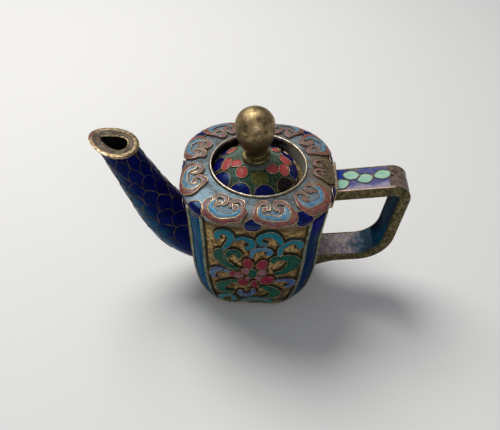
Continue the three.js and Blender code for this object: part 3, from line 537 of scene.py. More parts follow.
def ribbonEdges(points, widths, count):  # left and right edge of a stroke drawn flat
    left, right = [], []
    for i, (place, way) in enumerate(smoothRun(points, count)):
        reach = i / count * (len(widths) - 1)
        first = min(int(reach), len(widths) - 2)
        half = widths[first] + (widths[first + 1] - widths[first]) * (reach - first)
        across = Vector((-way.y, way.x)) * half
        left.append(place + across)
        right.append(place - across)
    return left, right


def ribbonPiece(name, points, widths, lay, levels, count=ribbonForm["steps"]):  # domed, sides turned down
    left, right = ribbonEdges(points, widths, count)
    low, high, crown = levels

    def place(u, v):
        i = nth(u, count)
        share = math.copysign(min(abs(v) / ribbonForm["rim"], 1), v)
        flat = (left[i] + right[i]) / 2 + (left[i] - right[i]) / 2 * share
        return lay(*flat, low if abs(v) > ribbonForm["edge"] else high + crown * (1 - share ** 2))

    middle = (left[count // 2] + right[count // 2]) / 2
    return faceOut(gridPiece(name, count, ribbonForm["rows"], place), lay(*middle, 1) - lay(*middle, 0))


def ribbonLoop(points, widths, lay, out, count=ribbonForm["steps"]):  # the wire's run round a stroke
    left, right = ribbonEdges(points, widths, count)
    return [lay(*spot, out) for spot in left + right[::-1]]


def petalSpot(disc, middle, size, tilt, point):  # a place in the unit disc, on the petal drawn flat
    turn = Matrix.Rotation(math.radians(tilt), 2)
    return turn @ Vector((disc.x * size[0], disc.y * size[1] * (1 - point * disc.x ** 2))) + Vector(middle)


def petalPiece(name, middle, size, tilt, lay, levels, grid=petalForm["grid"], point=0.0):
    low, high, crown = levels

    def place(u, v):
        edge = max(abs(u), abs(v)) > petalForm["edge"]
        u, v = [max(min(value / petalForm["rim"], 1), -1) for value in (u, v)]
        disc = Vector((u * math.sqrt(1 - v * v / 2), v * math.sqrt(1 - u * u / 2)))
        out = low if edge else high + crown * (1 - disc.length_squared)
        return lay(*petalSpot(disc, middle, size, tilt, point), out)

    return faceOut(gridPiece(name, grid, grid, place), lay(*middle, 1) - lay(*middle, 0))


def petalLoop(middle, size, tilt, lay, out, point=0.0):
    discs = [Vector((math.cos(a), math.sin(a))) for a in steps(0, math.tau, petalForm["loop"])[:-1]]
    return [lay(*petalSpot(disc, middle, size, tilt, point), out) for disc in discs]


# base, foot wire, wall

foot = {
    "base": [(9.8, 0.0), (10.3, 0.06), (11.6, 0.8), (11.6, 1.0), (11.3, 1.1)],  # half width and height
    "speck": (0.0006, 0.0002), "wireHeights": (1.25, 1.9, 3), "wireIn": -0.7, "wireOut": 0.08,
}
panel = {
    "bottom": 2.0, "top": 36.9, "ground": -0.5, "groundThick": 0.35, "groundGrid": (48, 56),
    "slip": 0.45, "slipBand": 3, "tealBands": (2, 3), "bandGrid": (16, 48), "bandFoot": 2.3,
    "bandShoulder": 5.6, "bandEdge": -0.28, "bandSwell": 0.2, "bandThick": 0.5, "edgeSteps": 40,
    "lowSteps": 24, "wire": 0.19, "wireOut": -0.08, "wireIn": 0.05, "wireGap": 0.42, "wireLift": 0.1,
    "grime": 0.2, "grimeIn": 0.45,
}


def loopRing(half, flat, z, count=24):  # one level loop round the square body
    ring = []
    for side in range(4):
        for bend in steps(-math.pi / 4, math.pi / 4, count)[:-1]:
            x = (-flat if bend < 0 else flat) + (half - flat) * math.sin(bend)
            y = -flat - (half - flat) * math.cos(bend)
            ring.append(fuller(turnedSpot(Vector((x, y, z)), side)))
    return ring


def bodyHoop(name, rings):  # a skin over level loops
    return hoopPiece(name, [loopRing(*ring) for ring in rings])


baseRings = [(half, wall["flat"], height) for half, height in foot["base"]]
baseRings = [(*foot["speck"], 0.0), *baseRings, (*foot["speck"], foot["base"][-1][1])]
dress(bodyHoop("baseFoot", baseRings), agedBrass, "brass", "base_plate")
wireStations = [stationAt(height) for height in steps(*foot["wireHeights"])]
wireRings = [outlineAt(station, foot["wireOut"]) for station in wireStations]
wireRings += [outlineAt(station, foot["wireIn"]) for station in reversed(wireStations)]
dress(bodyHoop("footWire", wireRings), gilt, "gilt", "foot_wire")
panelStations = stationAt(panel["bottom"]), stationAt(panel["top"])
panelHeights = [heightAt(station) for station in steps(*panelStations, panel["edgeSteps"])]


def panelHeight(v):
    return heightAt(panelStations[0] + (panelStations[1] - panelStations[0]) * (v + 1) / 2)


def bandHalf(height):
    return (panel["bandFoot"] + (panel["bandShoulder"] - panel["bandFoot"]) * stationAt(height)) / 2


def slip(height):  # the front panel runs a little further to its left, so the band there is narrower
    return panel["slip"] * stationAt(height)


def panelReach(side, sign, height):
    return sideReach(height) - bandHalf(height) + (slip(height) if side == 0 and sign < 0 else 0)


for side, name in enumerate(("front", "handle_side", "back", "spout_side")):
    def groundSpot(u, v):
        height = panelHeight(v)
        return wallSpot(side, u * panelReach(side, u, height), height, panel["ground"])

    ground = gridPiece(name + "Ground", *panel["groundGrid"], groundSpot)
    thicken(ground, panel["groundThick"])
    dress(ground, stippledGround, "gilt", name + "_panel")

    def bandSpot(u, v):
        height = panelHeight(v)
        across = u * bandHalf(height) - (slip(height) * (u + 1) / 2 if side == panel["slipBand"] else 0)
        out = panel["bandEdge"] + panel["bandSwell"] * (1 - u * u)
        return wallSpot(side, sideReach(height) + across, height, out)

    band = gridPiece(f"cornerBand{side + 1}", *panel["bandGrid"], bandSpot)
    thicken(band, panel["bandThick"])
    # the left bands take the painted-lit copy of the enamel, the right ones the painted-shade copy
    finish = litBandTeal if side in panel["tealBands"] else shadedBandNavy
    dress(band, finish, "teal_enamel", f"corner_band_{side + 1}")

    def edgeRun(sign, shift, out):
        return [wallSpot(side, sign * (panelReach(side, sign, z) + shift), z, out) for z in panelHeights]

    borderRuns = [edgeRun(sign, gap - panel["wireIn"], panel["wireOut"])
                  for sign in (-1, 1) for gap in (0, panel["wireGap"])]
    reachLow = panelReach(side, 1, panel["bottom"])
    borderRuns.append([wallSpot(side, s, panel["bottom"] + panel["wireLift"], panel["wireOut"])
                       for s in steps(-reachLow, reachLow, panel["lowSteps"])])
    dress(wirePiece(name + "Border", borderRuns, panel["wire"]), greenGilt, "brass", name + "_frame")
    # dark lines just inside the border wires: painted shadow where the ground sits below the border
    grimeShadeRuns = [edgeRun(sign, -panel["grimeIn"], panel["ground"]) for sign in (-1, 1)]
    dress(wirePiece(name + "Grime", grimeShadeRuns, panel["grime"]), grimeAndShade, "brass")
print("wall done")


# scrolls and flower of the panel: s along the side, height, in mm

scroll = {
    "levels": (-0.55, -0.06, 0.12), "petalLevels": (-0.55, -0.06, 0.18), "grimeLevels": (-0.55, -0.45, 0.0),
    "wire": 0.1, "wireOut": -0.02, "swell": 1.12, "petalSwell": 1.14, "grime": 0.5,
    "drift": 0.3, "leftShare": 0.93,
}
scrollStrokes = [
    # colour, points, half widths
    ("turquoise", [(-9.3, 31.7), (-9.6, 33.4), (-7.7, 34.7), (-6.1, 33.1), (-6.7, 30.4), (-8.0, 28.2)],
     (0.55, 0.72, 0.85, 0.8, 0.7, 0.5)),
    ("turquoise", [(-5.4, 32.2), (-3.0, 32.7), (-0.9, 31.4), (-0.9, 29.5), (-2.6, 29.2)],
     (0.4, 0.6, 0.75, 0.75, 0.55)),
    ("turquoise", [(2.6, 30.6), (0.9, 31.5), (1.1, 33.3), (3.0, 34.5), (5.0, 33.3), (5.9, 31.0)],
     (0.5, 0.65, 0.75, 0.85, 0.8, 0.5)),
    ("turquoise", [(5.7, 26.6), (6.0, 29.5), (8.0, 31.6), (10.3, 30.6), (10.6, 28.5)],
     (0.45, 0.6, 0.7, 0.85, 0.7)),
    ("skyBlue", [(-0.8, 25.5), (-0.3, 27.8), (1.8, 29.1), (3.5, 28.1), (3.1, 26.7)],
     (0.4, 0.6, 0.6, 0.65, 0.5)),
    ("leafGreen", [(-4.0, 20.4), (-6.6, 22.0), (-8.8, 24.8), (-9.0, 27.0), (-8.0, 28.5)],
     (0.45, 1.0, 1.3, 1.0, 0.4)),
    ("leafGreen", [(-7.3, 24.2), (-6.6, 26.8), (-5.0, 27.6), (-3.9, 26.5), (-4.3, 25.3)],
     (0.6, 0.85, 0.8, 0.7, 0.55)),
    ("leafGreen", [(5.0, 19.0), (7.8, 20.4), (9.4, 22.6), (8.8, 25.0), (6.8, 25.9), (4.7, 25.4), (4.3, 23.6)],
     (0.6, 1.2, 1.6, 1.3, 1.0, 0.75, 0.6)),
    ("cloudBlue", [(-5.9, 18.8), (-7.6, 19.8), (-9.6, 19.3), (-10.8, 17.0), (-10.4, 15.0)],
     (0.4, 0.6, 0.8, 0.8, 0.5)),
    ("cloudBlue", [(5.2, 15.8), (7.0, 16.2), (9.3, 15.0), (9.6, 13.2), (8.3, 12.2)],
     (0.35, 0.5, 0.75, 0.75, 0.5)),
    ("leafGreen", [(-4.0, 15.3), (-6.4, 14.6), (-8.6, 12.0), (-8.2, 9.8), (-6.3, 9.1), (-4.8, 9.8)],
     (0.45, 0.8, 1.2, 1.1, 0.8, 0.5)),
    ("cloudBlue", [(0.1, 11.9), (0.4, 9.8), (-1.5, 8.0), (-3.2, 8.8), (-3.1, 10.8)],
     (0.4, 0.6, 0.75, 0.65, 0.4)),
    ("leafGreen", [(1.9, 12.6), (4.2, 11.9), (5.8, 10.0), (5.2, 7.8), (3.2, 6.9)],
     (0.5, 1.2, 1.3, 1.1, 0.6)),
    ("turquoise", [(-8.8, 3.4), (-8.4, 5.9), (-6.6, 7.6), (-5.0, 6.2), (-4.7, 3.6)],
     (0.75, 0.7, 0.6, 0.7, 0.75)),
    ("turquoise", [(-2.8, 3.4), (-1.0, 5.0), (1.2, 5.6), (3.4, 4.8), (5.2, 3.3)],
     (0.7, 0.75, 0.8, 0.75, 0.7)),
]
flowerPetals = [
    # colour, middle, half sizes, tilt
    ("crimson", (-1.6, 22.9), (1.15, 1.9), 12), ("crimson", (1.95, 22.6), (1.05, 1.9), -6),
    ("mauve", (-2.1, 19.9), (0.8, 1.2), 10), ("mauve", (2.1, 19.5), (0.9, 1.3), -5),
    ("crimson", (-5.4, 18.5), (0.85, 1.15), -10), ("mauve", (-3.8, 17.8), (1.1, 1.35), 15),
    ("crimson", (3.4, 16.0), (1.6, 1.7), 20), ("crimson", (-2.5, 14.7), (1.25, 1.35), -10),
    ("crimson", (0.3, 14.1), (0.9, 1.4), 5), ("mauve", (1.4, 16.6), (0.7, 0.9), 0),
    ("mauve", (-1.5, 16.5), (0.6, 0.8), 0), ("leafGreen", (-0.3, 18.7), (1.1, 1.8), 0),
]
scrollFinish = {
    "turquoise": (turquoise, "turquoise_enamel"), "skyBlue": (skyBlue, "teal_enamel"),
    "leafGreen": (leafGreen, "green_enamel"), "cloudBlue": (cloudBlue, "pale_enamel"),
    "crimson": (crimson, "coral_enamel"), "mauve": (mauve, "pale_enamel"),
}


def frontLay(s, height, out):
    return wallSpot(0, *drift(s * (scroll["leftShare"] if s < 0 else 1), height, scroll["drift"]), out)


def capital(name):
    return name[0].upper() + name[1:]


# each stroke and petal gets a dark bed a little wider than itself: dirt and painted shadow at the foot of its
# wire
byColour, wireRuns, grimeShadeStrips = {}, [], []
for i, (colour, points, widths) in enumerate(scrollStrokes):
    widths = [half * scroll["swell"] for half in widths]
    wide = [half + scroll["grime"] for half in widths]
    strip = ribbonPiece(f"stroke{i}", points, widths, frontLay, scroll["levels"])
    byColour.setdefault(colour, []).append(strip)
    wireRuns.append(ribbonLoop(points, widths, frontLay, scroll["wireOut"]))
    grimeShadeStrips.append(ribbonPiece(f"strokeGrime{i}", points, wide, frontLay, scroll["grimeLevels"]))
for i, (colour, middle, size, tilt) in enumerate(flowerPetals):
    size = [half * scroll["petalSwell"] for half in size]
    wide = [half + scroll["grime"] for half in size]
    petal = petalPiece(f"petal{i}", middle, size, tilt, frontLay, scroll["petalLevels"])
    byColour.setdefault(colour, []).append(petal)
    wireRuns.append(petalLoop(middle, size, tilt, frontLay, scroll["wireOut"]))
    grimeShadeStrips.append(petalPiece(f"petalGrime{i}", middle, wide, tilt, frontLay, scroll["grimeLevels"]))
scrollPieces = [(joinPieces("scroll" + capital(colour), strips), *scrollFinish[colour])
                for colour, strips in byColour.items()]
scrollPieces.append((wirePiece("scrollWire", wireRuns, scroll["wire"], closed=True), scrollGilt, "gilt"))
scrollPieces.append((joinPieces("scrollGrime", grimeShadeStrips), grimeAndShade, "brass"))
for piece, material, slot in scrollPieces:
    backPiece = turnedCopy(piece, "back" + capital(piece.name), 180)
    whole = piece.name == "scrollWire"  # the wire stands for the whole solid
    dress(piece, material, slot, *(("front_scrollwork",) if whole else ()))
    dress(backPiece, material, slot, *(("back_scrollwork",) if whole else ()))
print("scrolls done")


# collar with cloud heads and lappets

collar = {
    "bottom": 36.4, "ground": -0.45, "back": -0.9, "inner": [(11.75, 0.2, 39.75), (11.75, 0.2, 39.0)],
    "angles": [-71.5, -25.5, 12.5, 50.5, 89, 122.5, 155, 185.5, 215.5, 249.5], "reach": 15.6, "worn": 4,
    "headWidth": 9.6, "headWidest": 8.9, "headGap": 1.1, "headRise": {3: 0.9}, "headTop": 0.2, "drift": 0.42,
    "levels": (-0.5, 0.0, 0.14), "steps": 28, "wire": 0.1, "wireOut": 0.06,
    "eyes": [(-1.9, 2.8), (1.9, 2.8)], "eye": (0.62, 0.6), "eyeLevels": (-0.5, -0.1, 0.12), "eyeWire": -0.02,
    "eyeGrid": 8, "lappetGrid": 14, "overSteps": 14, "lappet": (1.75, 1.85), "lappetDrop": 7.0,
    "lappetLevels": (-0.5, -0.1, 0.25), "lappetWire": 0.11,
    "lappetTurn": {0: 4.0, 1: 3.6, 2: 1.2}, "lappetRise": {0: 0.8, 2: 1.3, 5: 1.7, 8: 1.7},
}
headBeds = [
    # name, middle, half sizes, levels, grid, finish, slot
    ("Bed", (0, 3.7), (4.0, 2.5), (-0.5, -0.22, 0.0), 16, headBed, "turquoise_enamel"),
    # Shade: a dark bed wider than the head, dirt and painted shade at the foot of its enamel
    ("Shade", (0, 3.8), (5.1, 3.4), (-0.6, -0.42, 0.0), 20, headGrimeAndShade, "pale_enamel"),
]
headBands = [
    # colour, points across and down from the mouth, half widths
    ("coral", [(-3.9, 2.2), (-4.35, 3.7), (-3.4, 5.3), (-1.7, 5.9), (0, 6.4), (1.7, 5.9), (3.4, 5.3),
               (4.35, 3.7), (3.9, 2.2)], (0.45, 0.6, 0.75, 0.58, 0.85, 0.58, 0.75, 0.6, 0.45)),
    ("skyBlue", [(-3.3, 2.3), (-3.1, 3.9), (-1.6, 4.7), (0, 5.0), (1.6, 4.7), (3.1, 3.9), (3.3, 2.3)],
     (0.35, 0.7, 0.62, 0.72, 0.62, 0.7, 0.35)),
    ("palePink", [(-4.1, 2.6), (-3.2, 1.1), (-1.6, 1.0), (-0.7, 1.9), (-1.0, 2.9)],
     (0.45, 0.55, 0.52, 0.46, 0.36)),
    ("palePink", [(4.1, 2.6), (3.2, 1.1), (1.6, 1.0), (0.7, 1.9), (1.0, 2.9)],
     (0.45, 0.55, 0.52, 0.46, 0.36)),
]
headFinish = {
    "coral": (coral, "coral_enamel"), "palePink": (palePink, "coral_enamel"),
    "skyBlue": (headBlue, "turquoise_enamel"),
}

lowest, over = stationAt(collar["bottom"]), steps(1, 2, collar["overSteps"])
collarRings = [outlineAt(station, collar["ground"]) for station in [lowest, *over]] + collar["inner"]
collarRings += [outlineAt(station, collar["back"]) for station in [*reversed(over), lowest]]
dress(bodyHoop("collarGround", collarRings), collarPale, "pale_enamel", "collar_ground")
for i, angle in enumerate(collar["angles"]):
    head, worn = f"cloudHead{i + 1}", i == collar["worn"]
    before = collar["angles"][i - 1] - (360 if i == 0 else 0)
    after = [*collar["angles"], collar["angles"][0] + 360][i + 1]
    space = math.radians(min(angle - before, after - angle)) * collar["reach"] - collar["headGap"]
    share = min(collar["headWidest"], space) / collar["headWidth"]

    def headLay(across, down, out):
        across, down = drift(across, down - collar["headRise"].get(i, 0), collar["drift"], i + 1)
        turn = math.radians(angle) + across * share / collar["reach"]
        return shoulderSpot(turn, max(down, collar["headTop"]), out)

    for name, middle, size, levels, grid, finish, slot in headBeds:
        bed = petalPiece(head + name, middle, size, 0, headLay, levels, grid)
        dress(bed, bareCollar if worn else finish, slot)
    strips, runs = {}, []
    for k, (colour, points, widths) in enumerate(headBands):
        strip = ribbonPiece(f"head{i}Band{k}", points, widths, headLay, collar["levels"], collar["steps"])
        strips.setdefault(colour, []).append(strip)
        runs.append(ribbonLoop(points, widths, headLay, collar["wireOut"], collar["steps"]))
    for k, middle in enumerate(collar["eyes"]):
        eye = middle, collar["eye"], 0, headLay
        strips["palePink"].append(petalPiece(f"head{i}Cell{k}", *eye, collar["eyeLevels"], collar["eyeGrid"]))
        runs.append(petalLoop(*eye, collar["eyeWire"]))
    for colour, parts in strips.items():
        finish, slot = headFinish[colour]
        dress(joinPieces(head + colour, parts), bareCollar if worn and colour != "palePink" else finish, slot,
              *((f"cloud_head_{i + 1}",) if colour == "coral" else ()))
    dress(wirePiece(head + "Wire", runs, collar["wire"], closed=True), bareCollar if worn else paleGilt)

    between = math.radians((angle + after) / 2 + collar["lappetTurn"].get(i, 0))
    drop = collar["lappetDrop"] - collar["lappetRise"].get(i, 0)

    def lappetLay(across, down, out):
        return shoulderSpot(between + across / collar["reach"], drop + down, out)

    lappet = (0, 0), collar["lappet"], 0, lappetLay
    dress(petalPiece(f"lappet{i + 1}", *lappet, collar["lappetLevels"], collar["lappetGrid"]), navy,
          "navy_enamel", f"lappet_{i + 1}")
    lappetRun = petalLoop(*lappet, 0.0)
    dress(wirePiece(f"lappet{i + 1}Wire", [lappetRun], collar["lappetWire"], closed=True), paleGilt)
print("collar done")


# mouth ring

mouth = {
    "ring": [(11.9, 34.7), (11.9, 39.5), (11.25, 39.8), (11.15, 34.7)],  # radius and height
    "rim": 11.37, "rimTop": 40.3, "bead": 0.22, "rimOuter": (11.57, 39.4), "rimInner": (11.19, 39.5),
    "beadSteps": 10,
}
beadHeight = mouth["rimTop"] - mouth["bead"]
bead = [(mouth["rim"] + mouth["bead"] * math.cos(a), beadHeight + mouth["bead"] * math.sin(a))
        for a in steps(0, math.pi, mouth["beadSteps"])]
dress(lathePiece("mouthRing", mouth["ring"]), mouthShadeAndLight, "gilt", "mouth_ring")
dress(lathePiece("mouthRim", [mouth["rimOuter"], *bead, mouth["rimInner"]]), rimGilt)
print("mouth done")


# lid: field, border lappets, sprigs, disc, knob

lid = {
    "radius": 10.0, "edge": 38.0, "crown": 41.7, "shift": -0.6, "field": -0.1, "fieldDeep": -1.3,
    "fieldBore": 1.6, "fieldStart": 2.5, "fieldSteps": 12, "lappets": 10, "lappetGrid": 16, "turn": 14,
    "brown": 1, "lappet": (2.7, 2.6), "lappetReach": 9.9, "lappetLevels": (-0.4, -0.03, 0.2),
    "lappetWire": 0.06, "wire": 0.1,
    "olive": ((0.9, -5.6), (2.2, 1.7), 0), "oliveLevels": (-0.35, -0.07, 0.02),
    "sprigLevels": (-0.3, 0.02, 0.2), "sprigWire": 0.08, "sprigGap": 0.1,
    "disc": [(1.5, 41.4), (3.3, 40.95), (3.8, 41.0), (3.7, 41.45), (3.2, 41.55), (1.5, 41.85)],
    "discTurns": 72,
}
sprigPetals = [
    # plan place from the lid's middle, half sizes, tilt
    ((-6.9, -0.6), (1.05, 1.9), -12), ((-4.6, -1.2), (1.45, 1.05), -8), ((-3.2, -4.1), (1.25, 1.45), 20),
    ((3.7, -2.6), (1.45, 1.35), 25), ((6.6, -1.8), (1.15, 1.8), -10), ((6.9, 1.8), (1.2, 1.7), 28),
    ((-6.0, 4.9), (0.85, 1.6), -42), ((-2.0, 7.2), (1.2, 0.85), 10),
    ((1.6, 7.0), (1.1, 0.85), -8), ((4.6, 5.6), (1.0, 1.2), -35),
]
lidRise = lid["crown"] - lid["edge"]
domeRadius = (lid["radius"] ** 2 + lidRise ** 2) / (2 * lidRise)
domeMiddle = Vector((lid["shift"], 0, lid["crown"] - domeRadius))


def lidSpot(x, y, out):  # plan place on the lid, from its own middle
    reach = math.hypot(x, y)
    if reach > lid["radius"]:
        x, y = x * lid["radius"] / reach, y * lid["radius"] / reach
    rise = math.sqrt(max(domeRadius ** 2 - x * x - y * y, 0))
    return domeMiddle + Vector((x, y, rise)) * ((domeRadius + out) / domeRadius)


fieldRadii = lid["fieldBore"], *steps(lid["fieldStart"], lid["radius"], lid["fieldSteps"])
fieldTop = [lidSpot(radius, 0, lid["field"]) for radius in fieldRadii]
inner, outer = [lidSpot(radius, 0, lid["fieldDeep"]) for radius in (lid["fieldBore"], lid["radius"])]
fieldEdge = [(spot.x - lid["shift"], spot.z) for spot in (inner, *fieldTop, outer)]
field = lathePiece("lidField", fieldEdge, shift=lid["shift"])
dress(field, lidGreen, "green_enamel", "lid_field", body="lid")

lappets, lappetRuns = [], []
for i in range(lid["lappets"]):
    angle = math.radians(lid["turn"] + 360 / lid["lappets"] * i)
    outward, along = Vector((math.sin(angle), -math.cos(angle))), Vector((math.cos(angle), math.sin(angle)))

    def rimLay(across, down, out):
        return lidSpot(*(outward * (lid["lappetReach"] + down) + along * across), out)

    lappet = (0, 0), lid["lappet"], 0, rimLay
    lappets.append(petalPiece(f"lidLappet{i}", *lappet, lid["lappetLevels"], lid["lappetGrid"]))
    lappetRuns.append(petalLoop(*lappet, lid["lappetWire"]))
dress(lappets.pop(lid["brown"]), brownLappet, "navy_enamel", body="lid")
dress(joinPieces("lidLappets", lappets), navy, "navy_enamel", "lid_border", body="lid")
dress(wirePiece("lidLappetWire", lappetRuns, lid["wire"], closed=True), paleGilt, body="lid")

olive = petalPiece("lidOliveSpot", *lid["olive"], lidSpot, lid["oliveLevels"])
dress(olive, lidOlive, "green_enamel", body="lid")
sprigs = [petalPiece(f"sprig{i}", *petal, lidSpot, lid["sprigLevels"]) for i, petal in enumerate(sprigPetals)]
dress(joinPieces("lidSprigs", sprigs), sprigRed, "coral_enamel",
      "lid_sprig_1", "lid_sprig_2", "lid_sprig_3", "lid_sprig_4", body="lid")
sprigRuns = [petalLoop(spot, [half + lid["sprigGap"] for half in size], tilt, lidSpot, lid["sprigWire"])
             for spot, size, tilt in sprigPetals]
dress(wirePiece("lidSprigWire", sprigRuns, lid["wire"], closed=True), paleGilt, body="lid")
disc = lathePiece("crownDisc", lid["disc"], lid["discTurns"], lid["shift"])
dress(disc, discGrey, "pale_enamel", "crown_disc", body="lid")

knob = {
    "lean": -4.3, "radius": 4.62, "topHeight": 4.37, "lowHeight": 7.6, "middle": 51.2, "neck": 2.3,
    "neckLow": 44.1, "tip": 0.001, "bore": 1.3, "ring": 3.45, "ringLow": 42.1, "ringHigh": 43.2,
    "ringTop": 44.0, "ringNeck": [(2.55, 43.3), (2.61, 43.6), (2.45, 43.95)],  # radius and height
    "ringTurns": 64, "ringSteps": 12, "eggTurns": 72, "eggSteps": 30, "eggEnd": math.pi / 2 - 0.02,
}
lean = Matrix.Translation((lid["shift"], 0, lid["crown"]))
lean @= Matrix.Rotation(math.radians(knob["lean"]), 4, "Y")
lean @= Matrix.Translation((0, 0, -lid["crown"]))
lean.translation *= mm


def knobPiece(name, profile, segments):
    piece = lathePiece(name, profile, segments)
    piece.data.transform(lean)
    return piece


def eggSpot(turn):
    tall = knob["lowHeight" if turn < 0 else "topHeight"]
    return knob["radius"] * math.cos(turn), knob["middle"] + tall * math.sin(turn)


ringMiddle, ringBow = (knob["ringLow"] + knob["ringHigh"]) / 2, (knob["ringHigh"] - knob["ringLow"]) / 2
ringEdge = [(knob["ring"] - ringBow + ringBow * math.cos(a), ringMiddle + ringBow * math.sin(a))
            for a in steps(-math.pi / 2, math.pi / 2, knob["ringSteps"])]
ringEdge = [(knob["bore"], knob["ringLow"]), *ringEdge, *knob["ringNeck"], (knob["bore"], knob["ringTop"])]
dress(knobPiece("knobRing", ringEdge, knob["ringTurns"]), agedBrass, "gilt", "knob_ring", body="lid")
neckTurn = math.acos(knob["neck"] / knob["radius"])
egg = [eggSpot(turn) for turn in steps(-neckTurn, knob["eggEnd"], knob["eggSteps"])]
egg = [(knob["tip"], knob["neckLow"]), (knob["neck"], knob["neckLow"]), *egg,
       (knob["tip"], knob["middle"] + knob["topHeight"])]
dress(knobPiece("knobEgg", egg, knob["eggTurns"]), knobBrass, "gilt", "knob", body="lid")
print("lid done")


# spout

spout = {
    "path": [(-13.0, 17.2), (-22.4, 18.8), (-24.2, 24.7), (-33.9, 44.9)], "radii": (8.2, 6.1, 4.0),
    "sunk": -0.12, "thick": 1.2, "cut": 43.28, "marks": 200, "grid": (64, 70), "lipTurns": 72,
    "scaleStart": 6.0, "scaleRows": 9, "scalesRound": 8, "scaleBow": 1.05, "scaleOut": -0.07,
    "scaleWire": 0.08, "scaleDrift": 0.5, "scaleWide": 4, "scaleEnd": 0.995, "scaleSteps": 12,
    "lipTurn": -15, "slope": 0.15, "slopeTo": 1.0, "point": 0.15, "holePoint": 0.5, "skin": 0.15,
    "foot": (4.6, 4.0), "lip": (5.8, 5.2), "hole": (3.2, 2.1), "speck": (0.0005, 0.0005),
}
lipProfile = [
    # edge, how much wider, how far under the top
    ("foot", -1.6, 3.8), ("foot", 0, 1.6), ("lip", -0.75, 1.4), ("lip", -0.15, 0.7), ("lip", -0.05, 0.28),
    ("lip", -0.1, 0.08), ("lip", -0.35, 0), ("lip", -1.1, 0.05), ("hole", 0.5, 0.04), ("hole", 0.1, 0.16),
    ("hole", 0, 0.5), ("hole", -0.2, 3.8),
]
lipFace = [("lip", -1.0, 0.02), ("lip", -1.5, 0.02), ("hole", 0.35, 0.02)]
lipInside = [("hole", 0.2, 0.08), ("hole", -0.06, 0.5), ("hole", -0.26, 3.8), ("speck", 0, 3.9)]


def spoutPath(share):
    a, b, c, d = [Vector(spot) for spot in spout["path"]]
    rest = 1 - share
    place = a * rest ** 3 + b * (3 * rest * rest * share) + c * (3 * rest * share * share) + d * share ** 3
    way = (b - a) * (3 * rest * rest) + (c - b) * (6 * rest * share) + (d - c) * (3 * share * share)
    return place, way.normalized()


def spoutRadius(share):
    root, half, tip = spout["radii"]
    return root + (half - root) * share * 2 if share < 0.5 else half + (tip - half) * (share - 0.5) * 2


def spoutSpot(share, angle, out):  # share along the path, angle round it, out from its skin
    place, way = spoutPath(share)
    radius = spoutRadius(share) + out
    flat = place + Vector((-way.y, way.x)) * (radius * math.cos(angle))
    if flat.y > spout["cut"]:  # level under the lip
        flat += way * ((spout["cut"] - flat.y) / way.y)
    return Vector((flat.x, radius * math.sin(angle), flat.y))


def tubeSpot(u, v):
    return spoutSpot((v + 1) / 2, math.pi * (u + 1), spout["sunk"])


tube = gridPiece("spoutTube", *spout["grid"], tubeSpot)
closeSeams(tube)
thicken(tube, spout["thick"])
dress(tube, spoutNavy, "navy_enamel", "spout_tube")
spoutRuns = runLengths([spoutPath(share)[0] for share in steps(0, 1, spout["marks"])])


def spoutShare(length):
    return next((i for i, run in enumerate(spoutRuns) if run >= length), spout["marks"]) / spout["marks"]


def scaleSpot(row, i, a):  # a runs from 0 to pi over one scale
    turn = math.tau / spout["scalesRound"] * (i + 0.5 * (row % 2) + (1 - math.cos(a)) / 2)
    pitch = (spoutRuns[-1] - spout["scaleStart"]) / spout["scaleRows"]
    length = spout["scaleStart"] + pitch * (row + spout["scaleBow"] * math.sin(a))
    turn, length = drift(turn * spout["scaleWide"], length, spout["scaleDrift"])
    return spoutSpot(min(spoutShare(length), spout["scaleEnd"]), turn / spout["scaleWide"], spout["scaleOut"])


scaleRuns = [[scaleSpot(row, i, a) for a in steps(0, math.pi, spout["scaleSteps"])]
             for row in range(spout["scaleRows"]) for i in range(spout["scalesRound"])]
dress(wirePiece("spoutScales", scaleRuns, spout["scaleWire"], sides=0), scaleBrass, "brass")


def lipLoop(edge, grow, drop):  # the top slopes, what lies lower is level
    way, tip = spoutPath(1)[1], spout["path"][-1]
    turn = Matrix.Rotation(math.radians(spout["lipTurn"]), 2)
    point = spout["holePoint" if edge == "hole" else "point"]
    slope = spout["slope"] if drop < spout["slopeTo"] else 0
    long, wide = [half + grow for half in spout[edge]]
    loop = []
    for angle in steps(0, math.tau, spout["lipTurns"])[:-1]:
        across = wide * math.sin(angle) * (1 - point * math.cos(angle))
        flat = turn @ Vector((-long * math.cos(angle), across))
        loop.append(Vector((tip[0] - drop * way.x / way.y + flat.x, flat.y, tip[1] - drop - slope * flat.x)))
    return loop


def lipSkin(name, profile, material):  # a thin skin over part of the lip, closed underneath
    loops = [lipLoop(*row) for row in profile]
    under = [[spot - Vector((0, 0, spout["skin"])) for spot in loop] for loop in reversed(loops)]
    dress(hoopPiece(name, loops + under), material)


dress(hoopPiece("spoutLip", [lipLoop(*row) for row in lipProfile]), lipGilt, "gilt", "spout_lip")
lipSkin("spoutLipFace", lipFace, lipGrey)
# a near-black skin down inside the lip's hole, closed at its bottom: painted shadow
lipSkin("spoutLipInside", lipInside, holeShadow)
print("spout done")


# handle

